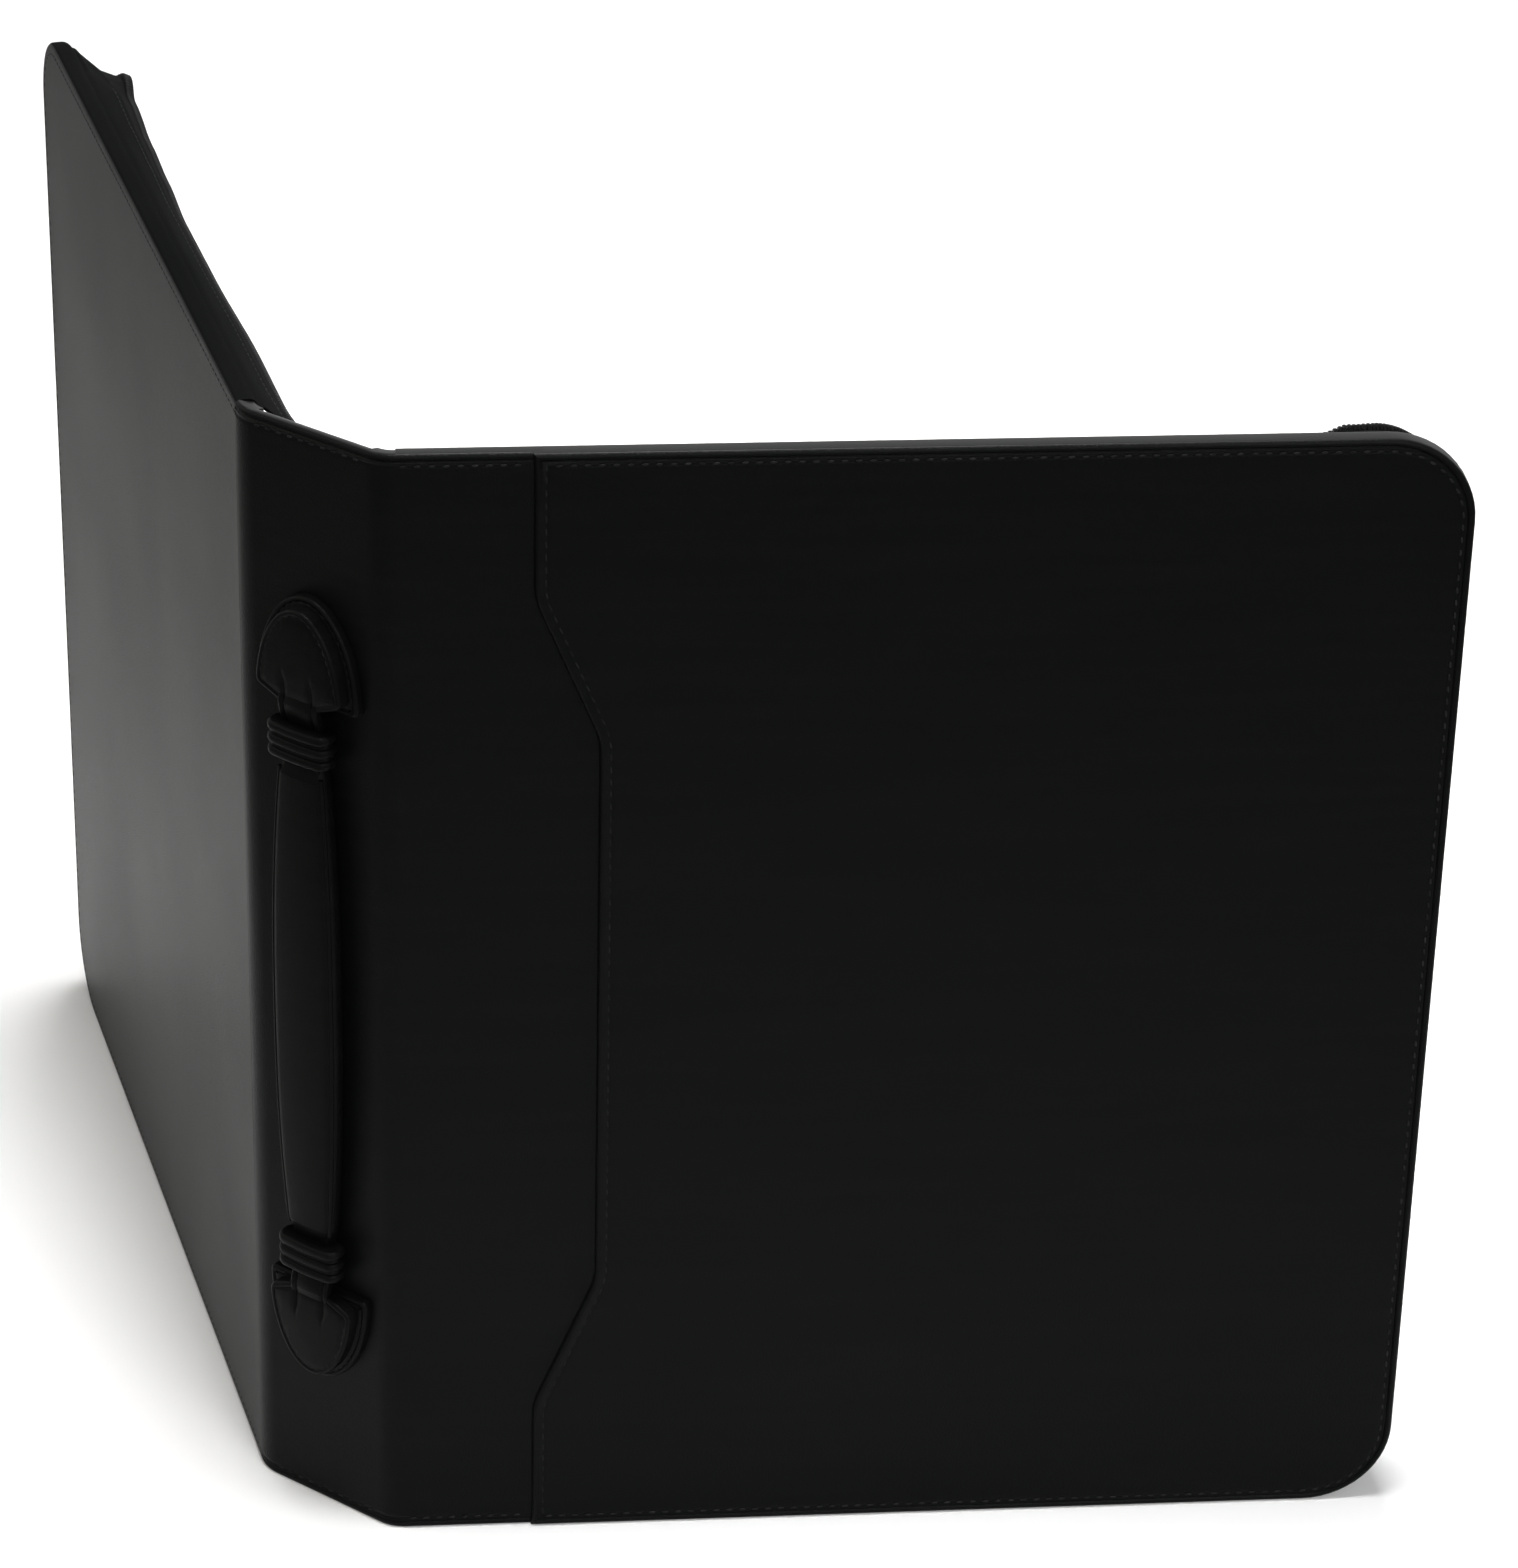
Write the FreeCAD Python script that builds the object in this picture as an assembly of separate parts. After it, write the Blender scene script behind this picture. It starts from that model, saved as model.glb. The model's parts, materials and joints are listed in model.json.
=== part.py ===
import FreeCAD, Part
import math
import os

# A book-shaped leather jewelry case with a zip-around gusset, standing half open on its lower edges.
# Millimetres. The origin is the middle of the spine's foot, +Z is up, and the handle side faces -Y.
# Each cover is modelled in its own frame, with u along the cover from the fold, d inwards from the
# fold's axis and z up, and is then turned to its place.

# Driving dimensions of the case
HEIGHT = 330.0
COVER_REACH = 279.5          # fold axis to fore-edge
FOLD_HALF_SPACING = 22.25    # spine's middle to each fold axis
FRONT_FOLD_DEG = 40.9        # how far each cover is folded from flat, as it stands
REAR_FOLD_DEG = 37.3
CORNER_RADIUS = 24.0

# Layers: depths are measured inwards from the fold axis
SKIN_OUTER = -2.0            # outer leather face of the spine, the rear cover and the fold-side leather
PANEL_OUTER = -3.0           # outer face of the raised main panel
COVER_INNER = 4.0
SPINE_INNER = 2.0
LEATHER = 1.2
BOARD_OUTER = 0.8
BOARD_INNER = 2.8
SPINE_BOARD_INNER = 1.2
EDGE_ROLL_OUTER = 1.8
EDGE_ROLL_INNER = 1.2
FOLD_ROLL_RADIUS = 2.0
FOLD_CLEARANCE = 0.35
FOLD_END_GAP = 0.6           # the fold rolls stop short of the floor

# Shaped seam of the main panel: distance from the fold and the height of its two bends
SEAM_NEAR = 38.0
SEAM_FAR = 55.0
SEAM_BEND_LOW = 41.0
SEAM_BEND_HIGH = 82.0
SEAM_BEND_RADIUS = 26.0

# Zip gusset: w runs from the cover to the free edge, n outwards from the tape's middle
ROOT_INSET = 2.0
GUSSET_START = 3.0
SAG_END = 205.0
SAG_DEG = 47.0
SAG_STEPS = 4
GUSSET_WIDTH = 10.5
GUSSET_SKIN = (0.33, 1.13)
TAPE_START = 4.0
TAPE_END = 15.2
TAPE_HALF = 0.3
CHAIN_END = 17.0
CHAIN_HALF = 0.9
STOP_LENGTH = 2.6
STOP_GRIP = 1.4
STOP_HALF = 1.15
STOP_GAP = 0.2

# Zip slider and pull on the front cover's upper run
SLIDER_REST = 24.0
SLIDER_LENGTH = 12.0
SLIDER_HALF_WIDTH = 4.6
SLIDER_TAPER = 0.62          # width of the closed end over the width of the split end
SLIDER_PLATE = (1.3, 2.3)
SLIDER_LIP = 0.7
SLIDER_LIP_WIDTH = 0.9
SLIDER_POST = (1.2, 4.0)     # half width at the split end, length along the travel
SLIDER_CENTRE = 18.5
BAIL_WIDTH = 2.4
BAIL_REACH = 3.4
BAIL_TOP = 6.0
BAIL_ROUND = 0.7             # share of the bail's reach that its top corners are rounded over
PIN_RADIUS = 0.7
PIN_HEIGHT = 3.9
EYE_PLAY = 0.05
PULL_LENGTH = 26.0
PULL_WIDTH = 7.0
PULL_HALF_THICKNESS = 0.6
FORK_GAP = 0.3
YOKE_LENGTH = 1.6
YOKE_OVERHANG = 1.2
TAB_ROUND = 0.9              # share of the tab's half width that its corners are rounded over

# Handle on the spine: heights of the half-moons' straight edges, then the handle between them
MOON_EDGE_LOW = 73.5
MOON_EDGE_HIGH = 254.0
MOON_BASE = (17.0, 30.0, 2.6)     # half width, reach, thickness
MOON_UPPER = (14.4, 27.5, 3.8)
MOON_SHOULDER = 3.0          # how far the upper patch's shoulders fall away from the strap
MOON_ROUND = 0.7
NECK_LENGTH = 6.0
STRAP_WIDTH = 12.0
STRAP_THICKNESS = 2.4
KEEPER_HEIGHT = 10.0
KEEPER_RIBS = 3
KEEPER_GROOVE = 0.8
KEEPER_HALF_WIDTH = 10.2
KEEPER_BACK = 1.2
KEEPER_FRONT = 8.8
KEEPER_ROUND = 0.9
KEEPER_CORNER = 0.4          # shares of the keeper's thickness that its corners are rounded over
KEEPER_CORE_CORNER = 0.3
GRIP_BACK = 0.8              # the grip lies close to the spine and is pulled out for the fingers
GRIP_MIDDLE = (10.4, 7.2)    # half width and thickness at the middle of the grip
GRIP_END = (7.6, 6.2)
GRIP_ROUND = 0.42            # share of the grip's thickness that its sides are rounded over
GRIP_STEPS = 4
NECK_CLEARANCE = 0.15

# Fittings inside the covers: the field that they share, then each fitting
FIELD_NEAR = 22.0
FIELD_FAR = 252.0
FIELD_LOW = 26.0
FIELD_HIGH = 292.0
FIELD_CORNER = 8.0
TRAY_WALL = 5.0
TRAY_CREST = 0.38            # share of the wall that its crest is rounded over
TRAY_INNER_CORNER = 1.0
TRAY_DEPTH = 16.0
TRAY_BASE = 5.2
ROLL_COUNT = 18
ROLL_GAP = 0.4
ROLL_SHOULDER = 11.0
ROLL_CROWN = 17.8
PAD_LOW = 100.0
PAD_EDGE = 7.0
PAD_CROWN = 9.5
PEG_COUNT = 8
PEG_HEIGHT = 278.0
PEG_MARGIN = 26.0
PEG_STEM = 1.5
PEG_HEAD = 3.2
PEG_NECK_DEPTH = 12.4
PEG_TIP_DEPTH = 14.6
PEG_HEAD_RIM = 0.6
PEG_BROW = 0.53              # how far the head swells past the straight line to its flat
POCKET_HIGH = 88.0
POCKET_WALL = 1.2
POCKET_DEPTH = 18.0
HEM_HEIGHT = 6.0
HEM_WALL = 0.8

FRONT_AXIS = FreeCAD.Vector(FOLD_HALF_SPACING, 0, 0)
REAR_AXIS = FreeCAD.Vector(-FOLD_HALF_SPACING, 0, 0)
UP = FreeCAD.Vector(0, 0, 1)
ORIGIN = FreeCAD.Vector(0, 0, 0)


def vec(x, y, z):
    """A point or direction."""
    return FreeCAD.Vector(x, y, z)


def block(low, high):
    """A box between two corners."""
    size = [high[i] - low[i] for i in range(3)]
    return Part.makeBox(size[0], size[1], size[2], vec(*low))


def line(a, b):
    """A straight edge."""
    return Part.LineSegment(a, b).toShape()


def arc(a, middle, b):
    """A round edge through three points."""
    return Part.Arc(a, middle, b).toShape()


def prism(edges, along):
    """A solid swept straight from a closed outline."""
    return Part.Face(Part.Wire(Part.__sortEdges__(edges))).extrude(along)


def fused(shapes):
    """One solid from pieces that meet."""
    whole = shapes[0].fuse(shapes[1:]).removeSplitter()
    return whole.Solids[0] if len(whole.Solids) == 1 else whole


def round_corner(before, corner, after, radius):
    """The two tangent points and the middle of an arc that rounds a corner."""
    back = (before - corner).normalize()
    ahead = (after - corner).normalize()
    half_turn = back.getAngle(ahead) / 2
    reach = radius / math.tan(half_turn)
    bisector = (back + ahead).normalize()
    centre = corner + bisector * (radius / math.sin(half_turn))
    return corner + back * reach, centre - bisector * radius, corner + ahead * reach


def rounded_run(points, radius):
    """An open run of lines whose inner corners are rounded."""
    edges = []
    start = points[0]
    for before, corner, after in zip(points, points[1:], points[2:]):
        first, middle, last = round_corner(before, corner, after, radius)
        edges += [line(start, first), arc(first, middle, last)]
        start = last
    return edges + [line(start, points[-1])]


def rounded_rectangle(low, high, radius, depth):
    """The edges of a rounded rectangle in the cover's plane, at a depth."""
    (u0, z0), (u1, z1) = low, high
    diagonal = radius * (1 - math.sqrt(0.5))
    corners = [
        ((u1 - radius, z0), (u1 - diagonal, z0 + diagonal), (u1, z0 + radius)),
        ((u1, z1 - radius), (u1 - diagonal, z1 - diagonal), (u1 - radius, z1)),
        ((u0 + radius, z1), (u0 + diagonal, z1 - diagonal), (u0, z1 - radius)),
        ((u0, z0 + radius), (u0 + diagonal, z0 + diagonal), (u0 + radius, z0)),
    ]
    edges = []
    for index, corner in enumerate(corners):
        first, middle, last = [vec(u, depth, z) for u, z in corner]
        following = corners[(index + 1) % len(corners)][0]
        edges.append(arc(first, middle, last))
        edges.append(line(last, vec(following[0], depth, following[1])))
    return edges


def cover_outline(near, inset, depth):
    """The edges of a cover's outline, square at the fold and round at the fore-edge."""
    far = COVER_REACH - inset
    low = inset
    high = HEIGHT - inset
    radius = CORNER_RADIUS - inset
    diagonal = radius * (1 - math.sqrt(0.5))
    low_start = vec(far - radius, depth, low)
    low_end = vec(far, depth, low + radius)
    high_start = vec(far, depth, high - radius)
    high_end = vec(far - radius, depth, high)
    return [
        line(vec(near, depth, low), low_start),
        arc(low_start, vec(far - diagonal, depth, low + diagonal), low_end),
        line(low_end, high_start),
        arc(high_start, vec(far - diagonal, depth, high - diagonal), high_end),
        line(high_end, vec(near, depth, high)),
        line(vec(near, depth, high), vec(near, depth, low)),
    ]


def cover_slab(near, inset, outer, inner):
    """A flat slab of the cover's outline between two depths."""
    return prism(cover_outline(near, inset, outer), vec(0, inner - outer, 0))


def rim_edges(slab, depth, near):
    """The edges round a slab's face at a depth, without the edge at the fold."""
    chosen = []
    for edge in slab.Edges:
        box = edge.BoundBox
        flat = abs(box.YMin - depth) < 1e-6 and abs(box.YMax - depth) < 1e-6
        if flat and box.XMax > near + 1e-6:
            chosen.append(edge)
    return chosen


def rolled_slab(outer):
    """A cover's full body with rolled edges, hollowed at the fold so that it turns round the fold roll."""
    near = FOLD_ROLL_RADIUS / 2
    slab = cover_slab(near, 0, outer, COVER_INNER)
    slab = slab.makeFillet(EDGE_ROLL_OUTER, rim_edges(slab, outer, near))
    slab = slab.makeFillet(EDGE_ROLL_INNER, rim_edges(slab, COVER_INNER, near))
    turn = FOLD_ROLL_RADIUS + FOLD_CLEARANCE
    hollow = Part.makeCylinder(turn, HEIGHT, ORIGIN, UP)
    step = block((0, 0, 0), (turn, COVER_INNER, HEIGHT))
    return slab.cut(hollow).cut(step)


def filling_start():
    """Where the board, padding and lining start, past the leather's turned end."""
    return FOLD_ROLL_RADIUS + FOLD_CLEARANCE + LEATHER


def filling(outer, inner):
    """A layer inside the leather, between two depths."""
    return cover_slab(filling_start(), LEATHER, outer, inner)


def seam_field():
    """All of the cover that lies beyond the shaped seam."""
    run = [
        vec(SEAM_NEAR, 2 * PANEL_OUTER, -1),
        vec(SEAM_NEAR, 2 * PANEL_OUTER, SEAM_BEND_LOW),
        vec(SEAM_FAR, 2 * PANEL_OUTER, SEAM_BEND_HIGH),
        vec(SEAM_FAR, 2 * PANEL_OUTER, HEIGHT - SEAM_BEND_HIGH),
        vec(SEAM_NEAR, 2 * PANEL_OUTER, HEIGHT - SEAM_BEND_LOW),
        vec(SEAM_NEAR, 2 * PANEL_OUTER, HEIGHT + 1),
    ]
    beyond_high = vec(COVER_REACH + 1, 2 * PANEL_OUTER, HEIGHT + 1)
    beyond_low = vec(COVER_REACH + 1, 2 * PANEL_OUTER, -1)
    closing = [line(run[-1], beyond_high), line(beyond_high, beyond_low), line(beyond_low, run[0])]
    return prism(rounded_run(run, SEAM_BEND_RADIUS) + closing, vec(0, 4 * COVER_INNER, 0))


def strip_section(w0, w1, n0, n1, u, sag_deg):
    """A rectangle across the upper run of the gusset, turned down by its sag."""
    sag = math.radians(sag_deg)
    root = vec(u, COVER_INNER, HEIGHT - ROOT_INSET)
    inwards = vec(0, math.cos(sag), -math.sin(sag))
    outwards = vec(0, math.sin(sag), math.cos(sag))
    corners = [root + inwards * w + outwards * n for w, n in ((w0, n0), (w1, n0), (w1, n1), (w0, n1))]
    return Part.makePolygon(corners + corners[:1])


def gusset_strip(w0, w1, n0, n1, start=GUSSET_START):
    """A strip of the zip gusset: its sagging upper run, two corners, the fore-edge and the lower run."""
    radius = CORNER_RADIUS - ROOT_INSET
    far = COVER_REACH - CORNER_RADIUS
    low_turn = vec(far, 0, CORNER_RADIUS)
    high_turn = vec(far, 0, HEIGHT - CORNER_RADIUS)
    upper = Part.Face(strip_section(w0, w1, n0, n1, start, SAG_DEG)).extrude(vec(SAG_END - start, 0, 0))
    sections = []
    for step in range(SAG_STEPS + 1):
        share = step / SAG_STEPS
        easing = 1 - share * share * (3 - 2 * share)
        u = SAG_END + share * (far - SAG_END)
        sections.append(strip_section(w0, w1, n0, n1, u, SAG_DEG * easing))
    rising = Part.makeLoft(sections, True, False)
    level = Part.Face(sections[-1])
    high_corner = level.revolve(high_turn, vec(0, 1, 0), 90)
    deep0 = COVER_INNER + w0
    deep1 = COVER_INNER + w1
    edge0 = far + radius + n0
    edge1 = far + radius + n1
    fore = block((edge0, deep0, CORNER_RADIUS), (edge1, deep1, HEIGHT - CORNER_RADIUS))
    lower = block((start, deep0, ROOT_INSET - n1), (far, deep1, ROOT_INSET - n0))
    low_end = Part.makePolygon([
        vec(far, deep0, ROOT_INSET - n1), vec(far, deep1, ROOT_INSET - n1),
        vec(far, deep1, ROOT_INSET - n0), vec(far, deep0, ROOT_INSET - n0), vec(far, deep0, ROOT_INSET - n1)])
    low_corner = Part.Face(low_end).revolve(low_turn, vec(0, 1, 0), -90)
    return fused([upper, rising, high_corner, fore, low_corner, lower])


def sag_placed(shape):
    """A piece drawn flat, with x along the run, y over the width and z outwards, put on the upper run."""
    turned = shape.copy()
    turned.rotate(ORIGIN, vec(1, 0, 0), -SAG_DEG)
    turned.translate(vec(0, COVER_INNER, HEIGHT - ROOT_INSET))
    return turned


def zip_stops():
    """The metal clamps that end a chain, one on the upper run and one on the lower."""
    start = GUSSET_START
    low = (start, TAPE_END - STOP_GRIP, -STOP_HALF)
    high = (start + STOP_LENGTH, CHAIN_END, STOP_HALF)
    slot = block((start, 0, -TAPE_HALF), (start + STOP_LENGTH, TAPE_END, TAPE_HALF))
    clamp = block(low, high).cut(slot)
    lower = clamp.copy()
    lower.translate(vec(0, COVER_INNER, ROOT_INSET))
    return Part.makeCompound([sag_placed(clamp), lower])


def zip_slider():
    """The slider: two plates with turned lips, the post that splits the chain, and the bail for the pull."""
    half = SLIDER_LENGTH / 2
    plate_low, plate_high = SLIDER_PLATE
    post_half, post_length = SLIDER_POST
    outline = [
        vec(-half, -SLIDER_HALF_WIDTH * SLIDER_TAPER, plate_low), vec(0, -SLIDER_HALF_WIDTH, plate_low),
        vec(half, -SLIDER_HALF_WIDTH, plate_low), vec(half, SLIDER_HALF_WIDTH, plate_low),
        vec(0, SLIDER_HALF_WIDTH, plate_low), vec(-half, SLIDER_HALF_WIDTH * SLIDER_TAPER, plate_low)]
    plate = Part.Face(Part.makePolygon(outline + outline[:1])).extrude(vec(0, 0, plate_high - plate_low))
    lips = []
    for side in (-1, 1):
        inner = side * (SLIDER_HALF_WIDTH - SLIDER_LIP_WIDTH)
        outer = side * SLIDER_HALF_WIDTH
        lips.append(block((0, min(inner, outer), SLIDER_LIP), (half, max(inner, outer), plate_low)))
    shell = fused([plate] + lips)
    under = shell.mirror(ORIGIN, UP)
    wedge = [vec(half, -post_half, -plate_low), vec(half, post_half, -plate_low),
             vec(half - post_length, 0, -plate_low)]
    post = Part.Face(Part.makePolygon(wedge + wedge[:1])).extrude(vec(0, 0, 2 * plate_low))
    bail = block((-BAIL_REACH, -BAIL_WIDTH / 2, plate_high), (BAIL_REACH, BAIL_WIDTH / 2, BAIL_TOP))
    crosswise = [e for e in bail.Edges if e.BoundBox.XLength < 1e-6]
    top_edges = [e for e in crosswise if abs(e.BoundBox.ZMin - BAIL_TOP) < 1e-6]
    bail = bail.makeFillet(BAIL_REACH * BAIL_ROUND, top_edges)
    eye_radius = PIN_RADIUS + EYE_PLAY
    eye = Part.makeCylinder(eye_radius, BAIL_WIDTH, vec(0, -BAIL_WIDTH / 2, PIN_HEIGHT), vec(0, 1, 0))
    return fused([shell, under, post, bail.cut(eye)])


def zip_pull():
    """The pull: a forked yoke on a pin through the bail, carrying a rounded tab."""
    fork_inner = BAIL_WIDTH / 2 + FORK_GAP
    fork_outer = PULL_WIDTH / 2
    low = PIN_HEIGHT - PULL_HALF_THICKNESS
    thick = 2 * PULL_HALF_THICKNESS
    yoke_end = BAIL_REACH + YOKE_LENGTH
    plate = block((-YOKE_OVERHANG, -fork_outer, low), (PULL_LENGTH, fork_outer, low + thick))
    slot = block((-2 * YOKE_OVERHANG, -fork_inner, low), (yoke_end, fork_inner, low + thick))
    plate = plate.cut(slot)
    ends = [e for e in plate.Edges if e.BoundBox.XMin > PULL_LENGTH - 1e-6 and e.BoundBox.ZLength > thick / 2]
    plate = plate.makeFillet(fork_outer * TAB_ROUND, ends)
    pin = Part.makeCylinder(PIN_RADIUS, PULL_WIDTH, vec(0, -fork_outer, PIN_HEIGHT), vec(0, 1, 0))
    return fused([plate, pin])


def on_slider(shape):
    """A piece drawn about the slider's middle, put at its place on the upper run."""
    moved = shape.copy()
    moved.translate(vec(SLIDER_REST, SLIDER_CENTRE, 0))
    return sag_placed(moved)


def ring_tray():
    """The tray's padded frame."""
    depth = vec(0, TRAY_DEPTH - COVER_INNER, 0)
    outer = prism(rounded_rectangle((FIELD_NEAR, FIELD_LOW), (FIELD_FAR, FIELD_HIGH), FIELD_CORNER,
                                    COVER_INNER), depth)
    inner_low = (FIELD_NEAR + TRAY_WALL, FIELD_LOW + TRAY_WALL)
    inner_high = (FIELD_FAR - TRAY_WALL, FIELD_HIGH - TRAY_WALL)
    inner = prism(rounded_rectangle(inner_low, inner_high, TRAY_INNER_CORNER, COVER_INNER), depth)
    frame = outer.cut(inner)
    crest = [e for e in frame.Edges if e.BoundBox.YMin > TRAY_DEPTH - 1e-6]
    return frame.makeFillet(TRAY_WALL * TRAY_CREST, crest)


def ring_tray_base():
    """The flat bed inside the tray's frame."""
    low = (FIELD_NEAR + TRAY_WALL, FIELD_LOW + TRAY_WALL)
    high = (FIELD_FAR - TRAY_WALL, FIELD_HIGH - TRAY_WALL)
    edges = rounded_rectangle(low, high, TRAY_INNER_CORNER, COVER_INNER)
    return prism(edges, vec(0, TRAY_BASE - COVER_INNER, 0))


def ring_rolls():
    """The padded rolls that pinch rings between them, each with a round crown."""
    near = FIELD_NEAR + TRAY_WALL + ROLL_GAP
    far = FIELD_FAR - TRAY_WALL - ROLL_GAP
    low = FIELD_LOW + TRAY_WALL
    pitch = (FIELD_HIGH - TRAY_WALL - low) / ROLL_COUNT
    rolls = []
    for index in range(ROLL_COUNT):
        z0 = low + index * pitch + ROLL_GAP / 2
        z1 = low + (index + 1) * pitch - ROLL_GAP / 2
        corners = [vec(near, TRAY_BASE, z1), vec(near, TRAY_BASE, z0),
                   vec(near, ROLL_SHOULDER, z0), vec(near, ROLL_SHOULDER, z1)]
        crown = vec(near, ROLL_CROWN, (z0 + z1) / 2)
        outline = [line(corners[0], corners[1]), line(corners[1], corners[2]),
                   arc(corners[2], crown, corners[3]), line(corners[3], corners[0])]
        rolls.append(prism(outline, vec(far - near, 0, 0)))
    return rolls


def peg_places():
    """Where the necklace pegs stand along the cover."""
    first = FIELD_NEAR + PEG_MARGIN
    spread = FIELD_FAR - PEG_MARGIN - first
    return [first + spread * index / (PEG_COUNT - 1) for index in range(PEG_COUNT)]


def necklace_pegs():
    """Mushroom pegs that necklaces hang on, each turned about its own axis."""
    head_start = PEG_NECK_DEPTH + PEG_HEAD_RIM
    profile = [vec(0, COVER_INNER, 0), vec(PEG_STEM, COVER_INNER, 0), vec(PEG_STEM, PEG_NECK_DEPTH, 0),
               vec(PEG_HEAD, PEG_NECK_DEPTH, 0), vec(PEG_HEAD, head_start, 0)]
    flat_edge = vec(PEG_STEM, PEG_TIP_DEPTH, 0)
    brow = vec((PEG_HEAD + PEG_STEM) * PEG_BROW, (head_start + PEG_TIP_DEPTH) * PEG_BROW, 0)
    tip = vec(0, PEG_TIP_DEPTH, 0)
    edges = [line(a, b) for a, b in zip(profile, profile[1:])]
    edges += [arc(profile[-1], brow, flat_edge), line(flat_edge, tip), line(tip, profile[0])]
    peg = Part.Face(Part.Wire(edges)).revolve(ORIGIN, vec(0, 1, 0), 360)
    pegs = []
    for place in peg_places():
        placed = peg.copy()
        placed.translate(vec(place, 0, PEG_HEIGHT))
        pegs.append(placed)
    return pegs


def crowned(low, high, edge_depth, crown_depth):
    """A pad whose face swells from its edges to its middle both ways."""
    pad = prism(rounded_rectangle(low, high, FIELD_CORNER, COVER_INNER), vec(0, crown_depth, 0))
    rise = (crown_depth - edge_depth) / 2
    middle = [(low[i] + high[i]) / 2 for i in range(2)]
    for span, direction, centre in (
            (high[0] - low[0], UP, vec(middle[0], 0, 0)),
            (high[1] - low[1], vec(1, 0, 0), vec(0, 0, middle[1]))):
        radius = (span * span / 4 + rise * rise) / (2 * rise)
        start = centre + vec(0, crown_depth - radius, 0) - direction * HEIGHT
        pad = pad.common(Part.makeCylinder(radius, 3 * HEIGHT, start, direction))
    return pad


def necklace_pad():
    """The padded panel that necklaces lie on, holed for the pegs."""
    pad = crowned((FIELD_NEAR, PAD_LOW), (FIELD_FAR, FIELD_HIGH), PAD_EDGE, PAD_CROWN)
    for place in peg_places():
        hole = Part.makeCylinder(PEG_STEM, PAD_CROWN, vec(place, COVER_INNER, PEG_HEIGHT), vec(0, 1, 0))
        pad = pad.cut(hole)
    return pad


def catch_pocket():
    """The pouch under the pad that catches the ends of the chains, open at the top."""
    outside = block((FIELD_NEAR, COVER_INNER, FIELD_LOW), (FIELD_FAR, POCKET_DEPTH, POCKET_HIGH))
    corners = [e for e in outside.Edges
               if e.BoundBox.YLength < 1e-6 and e.BoundBox.YMin > POCKET_DEPTH - 1e-6
               and e.BoundBox.ZMin < POCKET_HIGH - 1]
    outside = outside.makeFillet(POCKET_WALL, corners)
    inside = block((FIELD_NEAR + POCKET_WALL, COVER_INNER, FIELD_LOW + POCKET_WALL),
                   (FIELD_FAR - POCKET_WALL, POCKET_DEPTH - POCKET_WALL, POCKET_HIGH))
    return outside.cut(inside)


def pocket_hem():
    """The gathered hem on the pouch's mouth, folded over its front sheet."""
    low = (FIELD_NEAR + POCKET_WALL, POCKET_DEPTH - POCKET_WALL - HEM_WALL, POCKET_HIGH - HEM_HEIGHT)
    high = (FIELD_FAR - POCKET_WALL, POCKET_DEPTH + HEM_WALL, POCKET_HIGH + HEM_WALL)
    sheet = block((FIELD_NEAR, POCKET_DEPTH - POCKET_WALL, FIELD_LOW), (FIELD_FAR, POCKET_DEPTH, POCKET_HIGH))
    return block(low, high).cut(sheet)


def spine_slab(inset, outer, inner):
    """A layer of the spine between its fold rolls."""
    half = FOLD_HALF_SPACING - FOLD_ROLL_RADIUS - inset
    return block((-half, outer, inset), (half, inner, HEIGHT - inset))


def spine_leather():
    """The spine's outer leather, turned in over the board at its head and foot."""
    slab = spine_slab(0, SKIN_OUTER, SPINE_INNER)
    ends = [e for e in slab.Edges if e.BoundBox.XLength > FOLD_HALF_SPACING]
    slab = slab.makeFillet(EDGE_ROLL_INNER, ends)
    hollow = spine_slab(LEATHER, SKIN_OUTER + LEATHER, SPINE_INNER)
    return slab.cut(hollow)


def fold_roll(side):
    """The leather fold that hinges a cover: a round-nosed roll on the spine's edge."""
    axis_x = side * FOLD_HALF_SPACING
    inner_x = axis_x - side * FOLD_ROLL_RADIUS
    foot = FOLD_END_GAP
    corners = [vec(axis_x, SPINE_INNER, foot), vec(inner_x, SPINE_INNER, foot),
               vec(inner_x, SKIN_OUTER, foot), vec(axis_x, SKIN_OUTER, foot)]
    nose = vec(axis_x + side * FOLD_ROLL_RADIUS, 0, foot)
    edges = [line(a, b) for a, b in zip(corners, corners[1:])] + [arc(corners[3], nose, corners[0])]
    return prism(edges, vec(0, 0, HEIGHT - 2 * foot))


def half_moon(sizes, stand_off, upwards, shoulder=0):
    """A half-moon patch on the spine, straight towards the handle, or with shoulders that fall away."""
    half_width, reach, thickness = sizes
    edge = MOON_EDGE_HIGH if upwards else MOON_EDGE_LOW
    back = SKIN_OUTER - stand_off
    middle = vec(0, back, edge)
    oval = Part.Ellipse(vec(0, back, edge + reach), vec(half_width, back, edge), middle)
    quarter = math.pi / 2
    if upwards:
        curve = Part.ArcOfEllipse(oval, -quarter, quarter).toShape()
    else:
        curve = Part.ArcOfEllipse(oval, quarter, 3 * quarter).toShape()
    ends = [vertex.Point for vertex in curve.Vertexes]
    patch = prism([curve, line(ends[-1], ends[0])], vec(0, -thickness, 0))
    if shoulder:
        fall = shoulder if upwards else -shoulder
        for side in (-1, 1):
            strap = vec(side * STRAP_WIDTH / 2, back, edge)
            corner = vec(side * half_width, back, edge)
            past = vec(side * half_width, back, edge + fall)
            wedge = prism([line(strap, corner), line(corner, past), line(past, strap)], vec(0, -thickness, 0))
            patch = patch.cut(wedge)
    front = back - thickness
    rim = [e for e in patch.Edges if e.BoundBox.YMax < front + 1e-6 and e.Length > reach]
    return patch.makeFillet(MOON_ROUND, rim)


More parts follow.
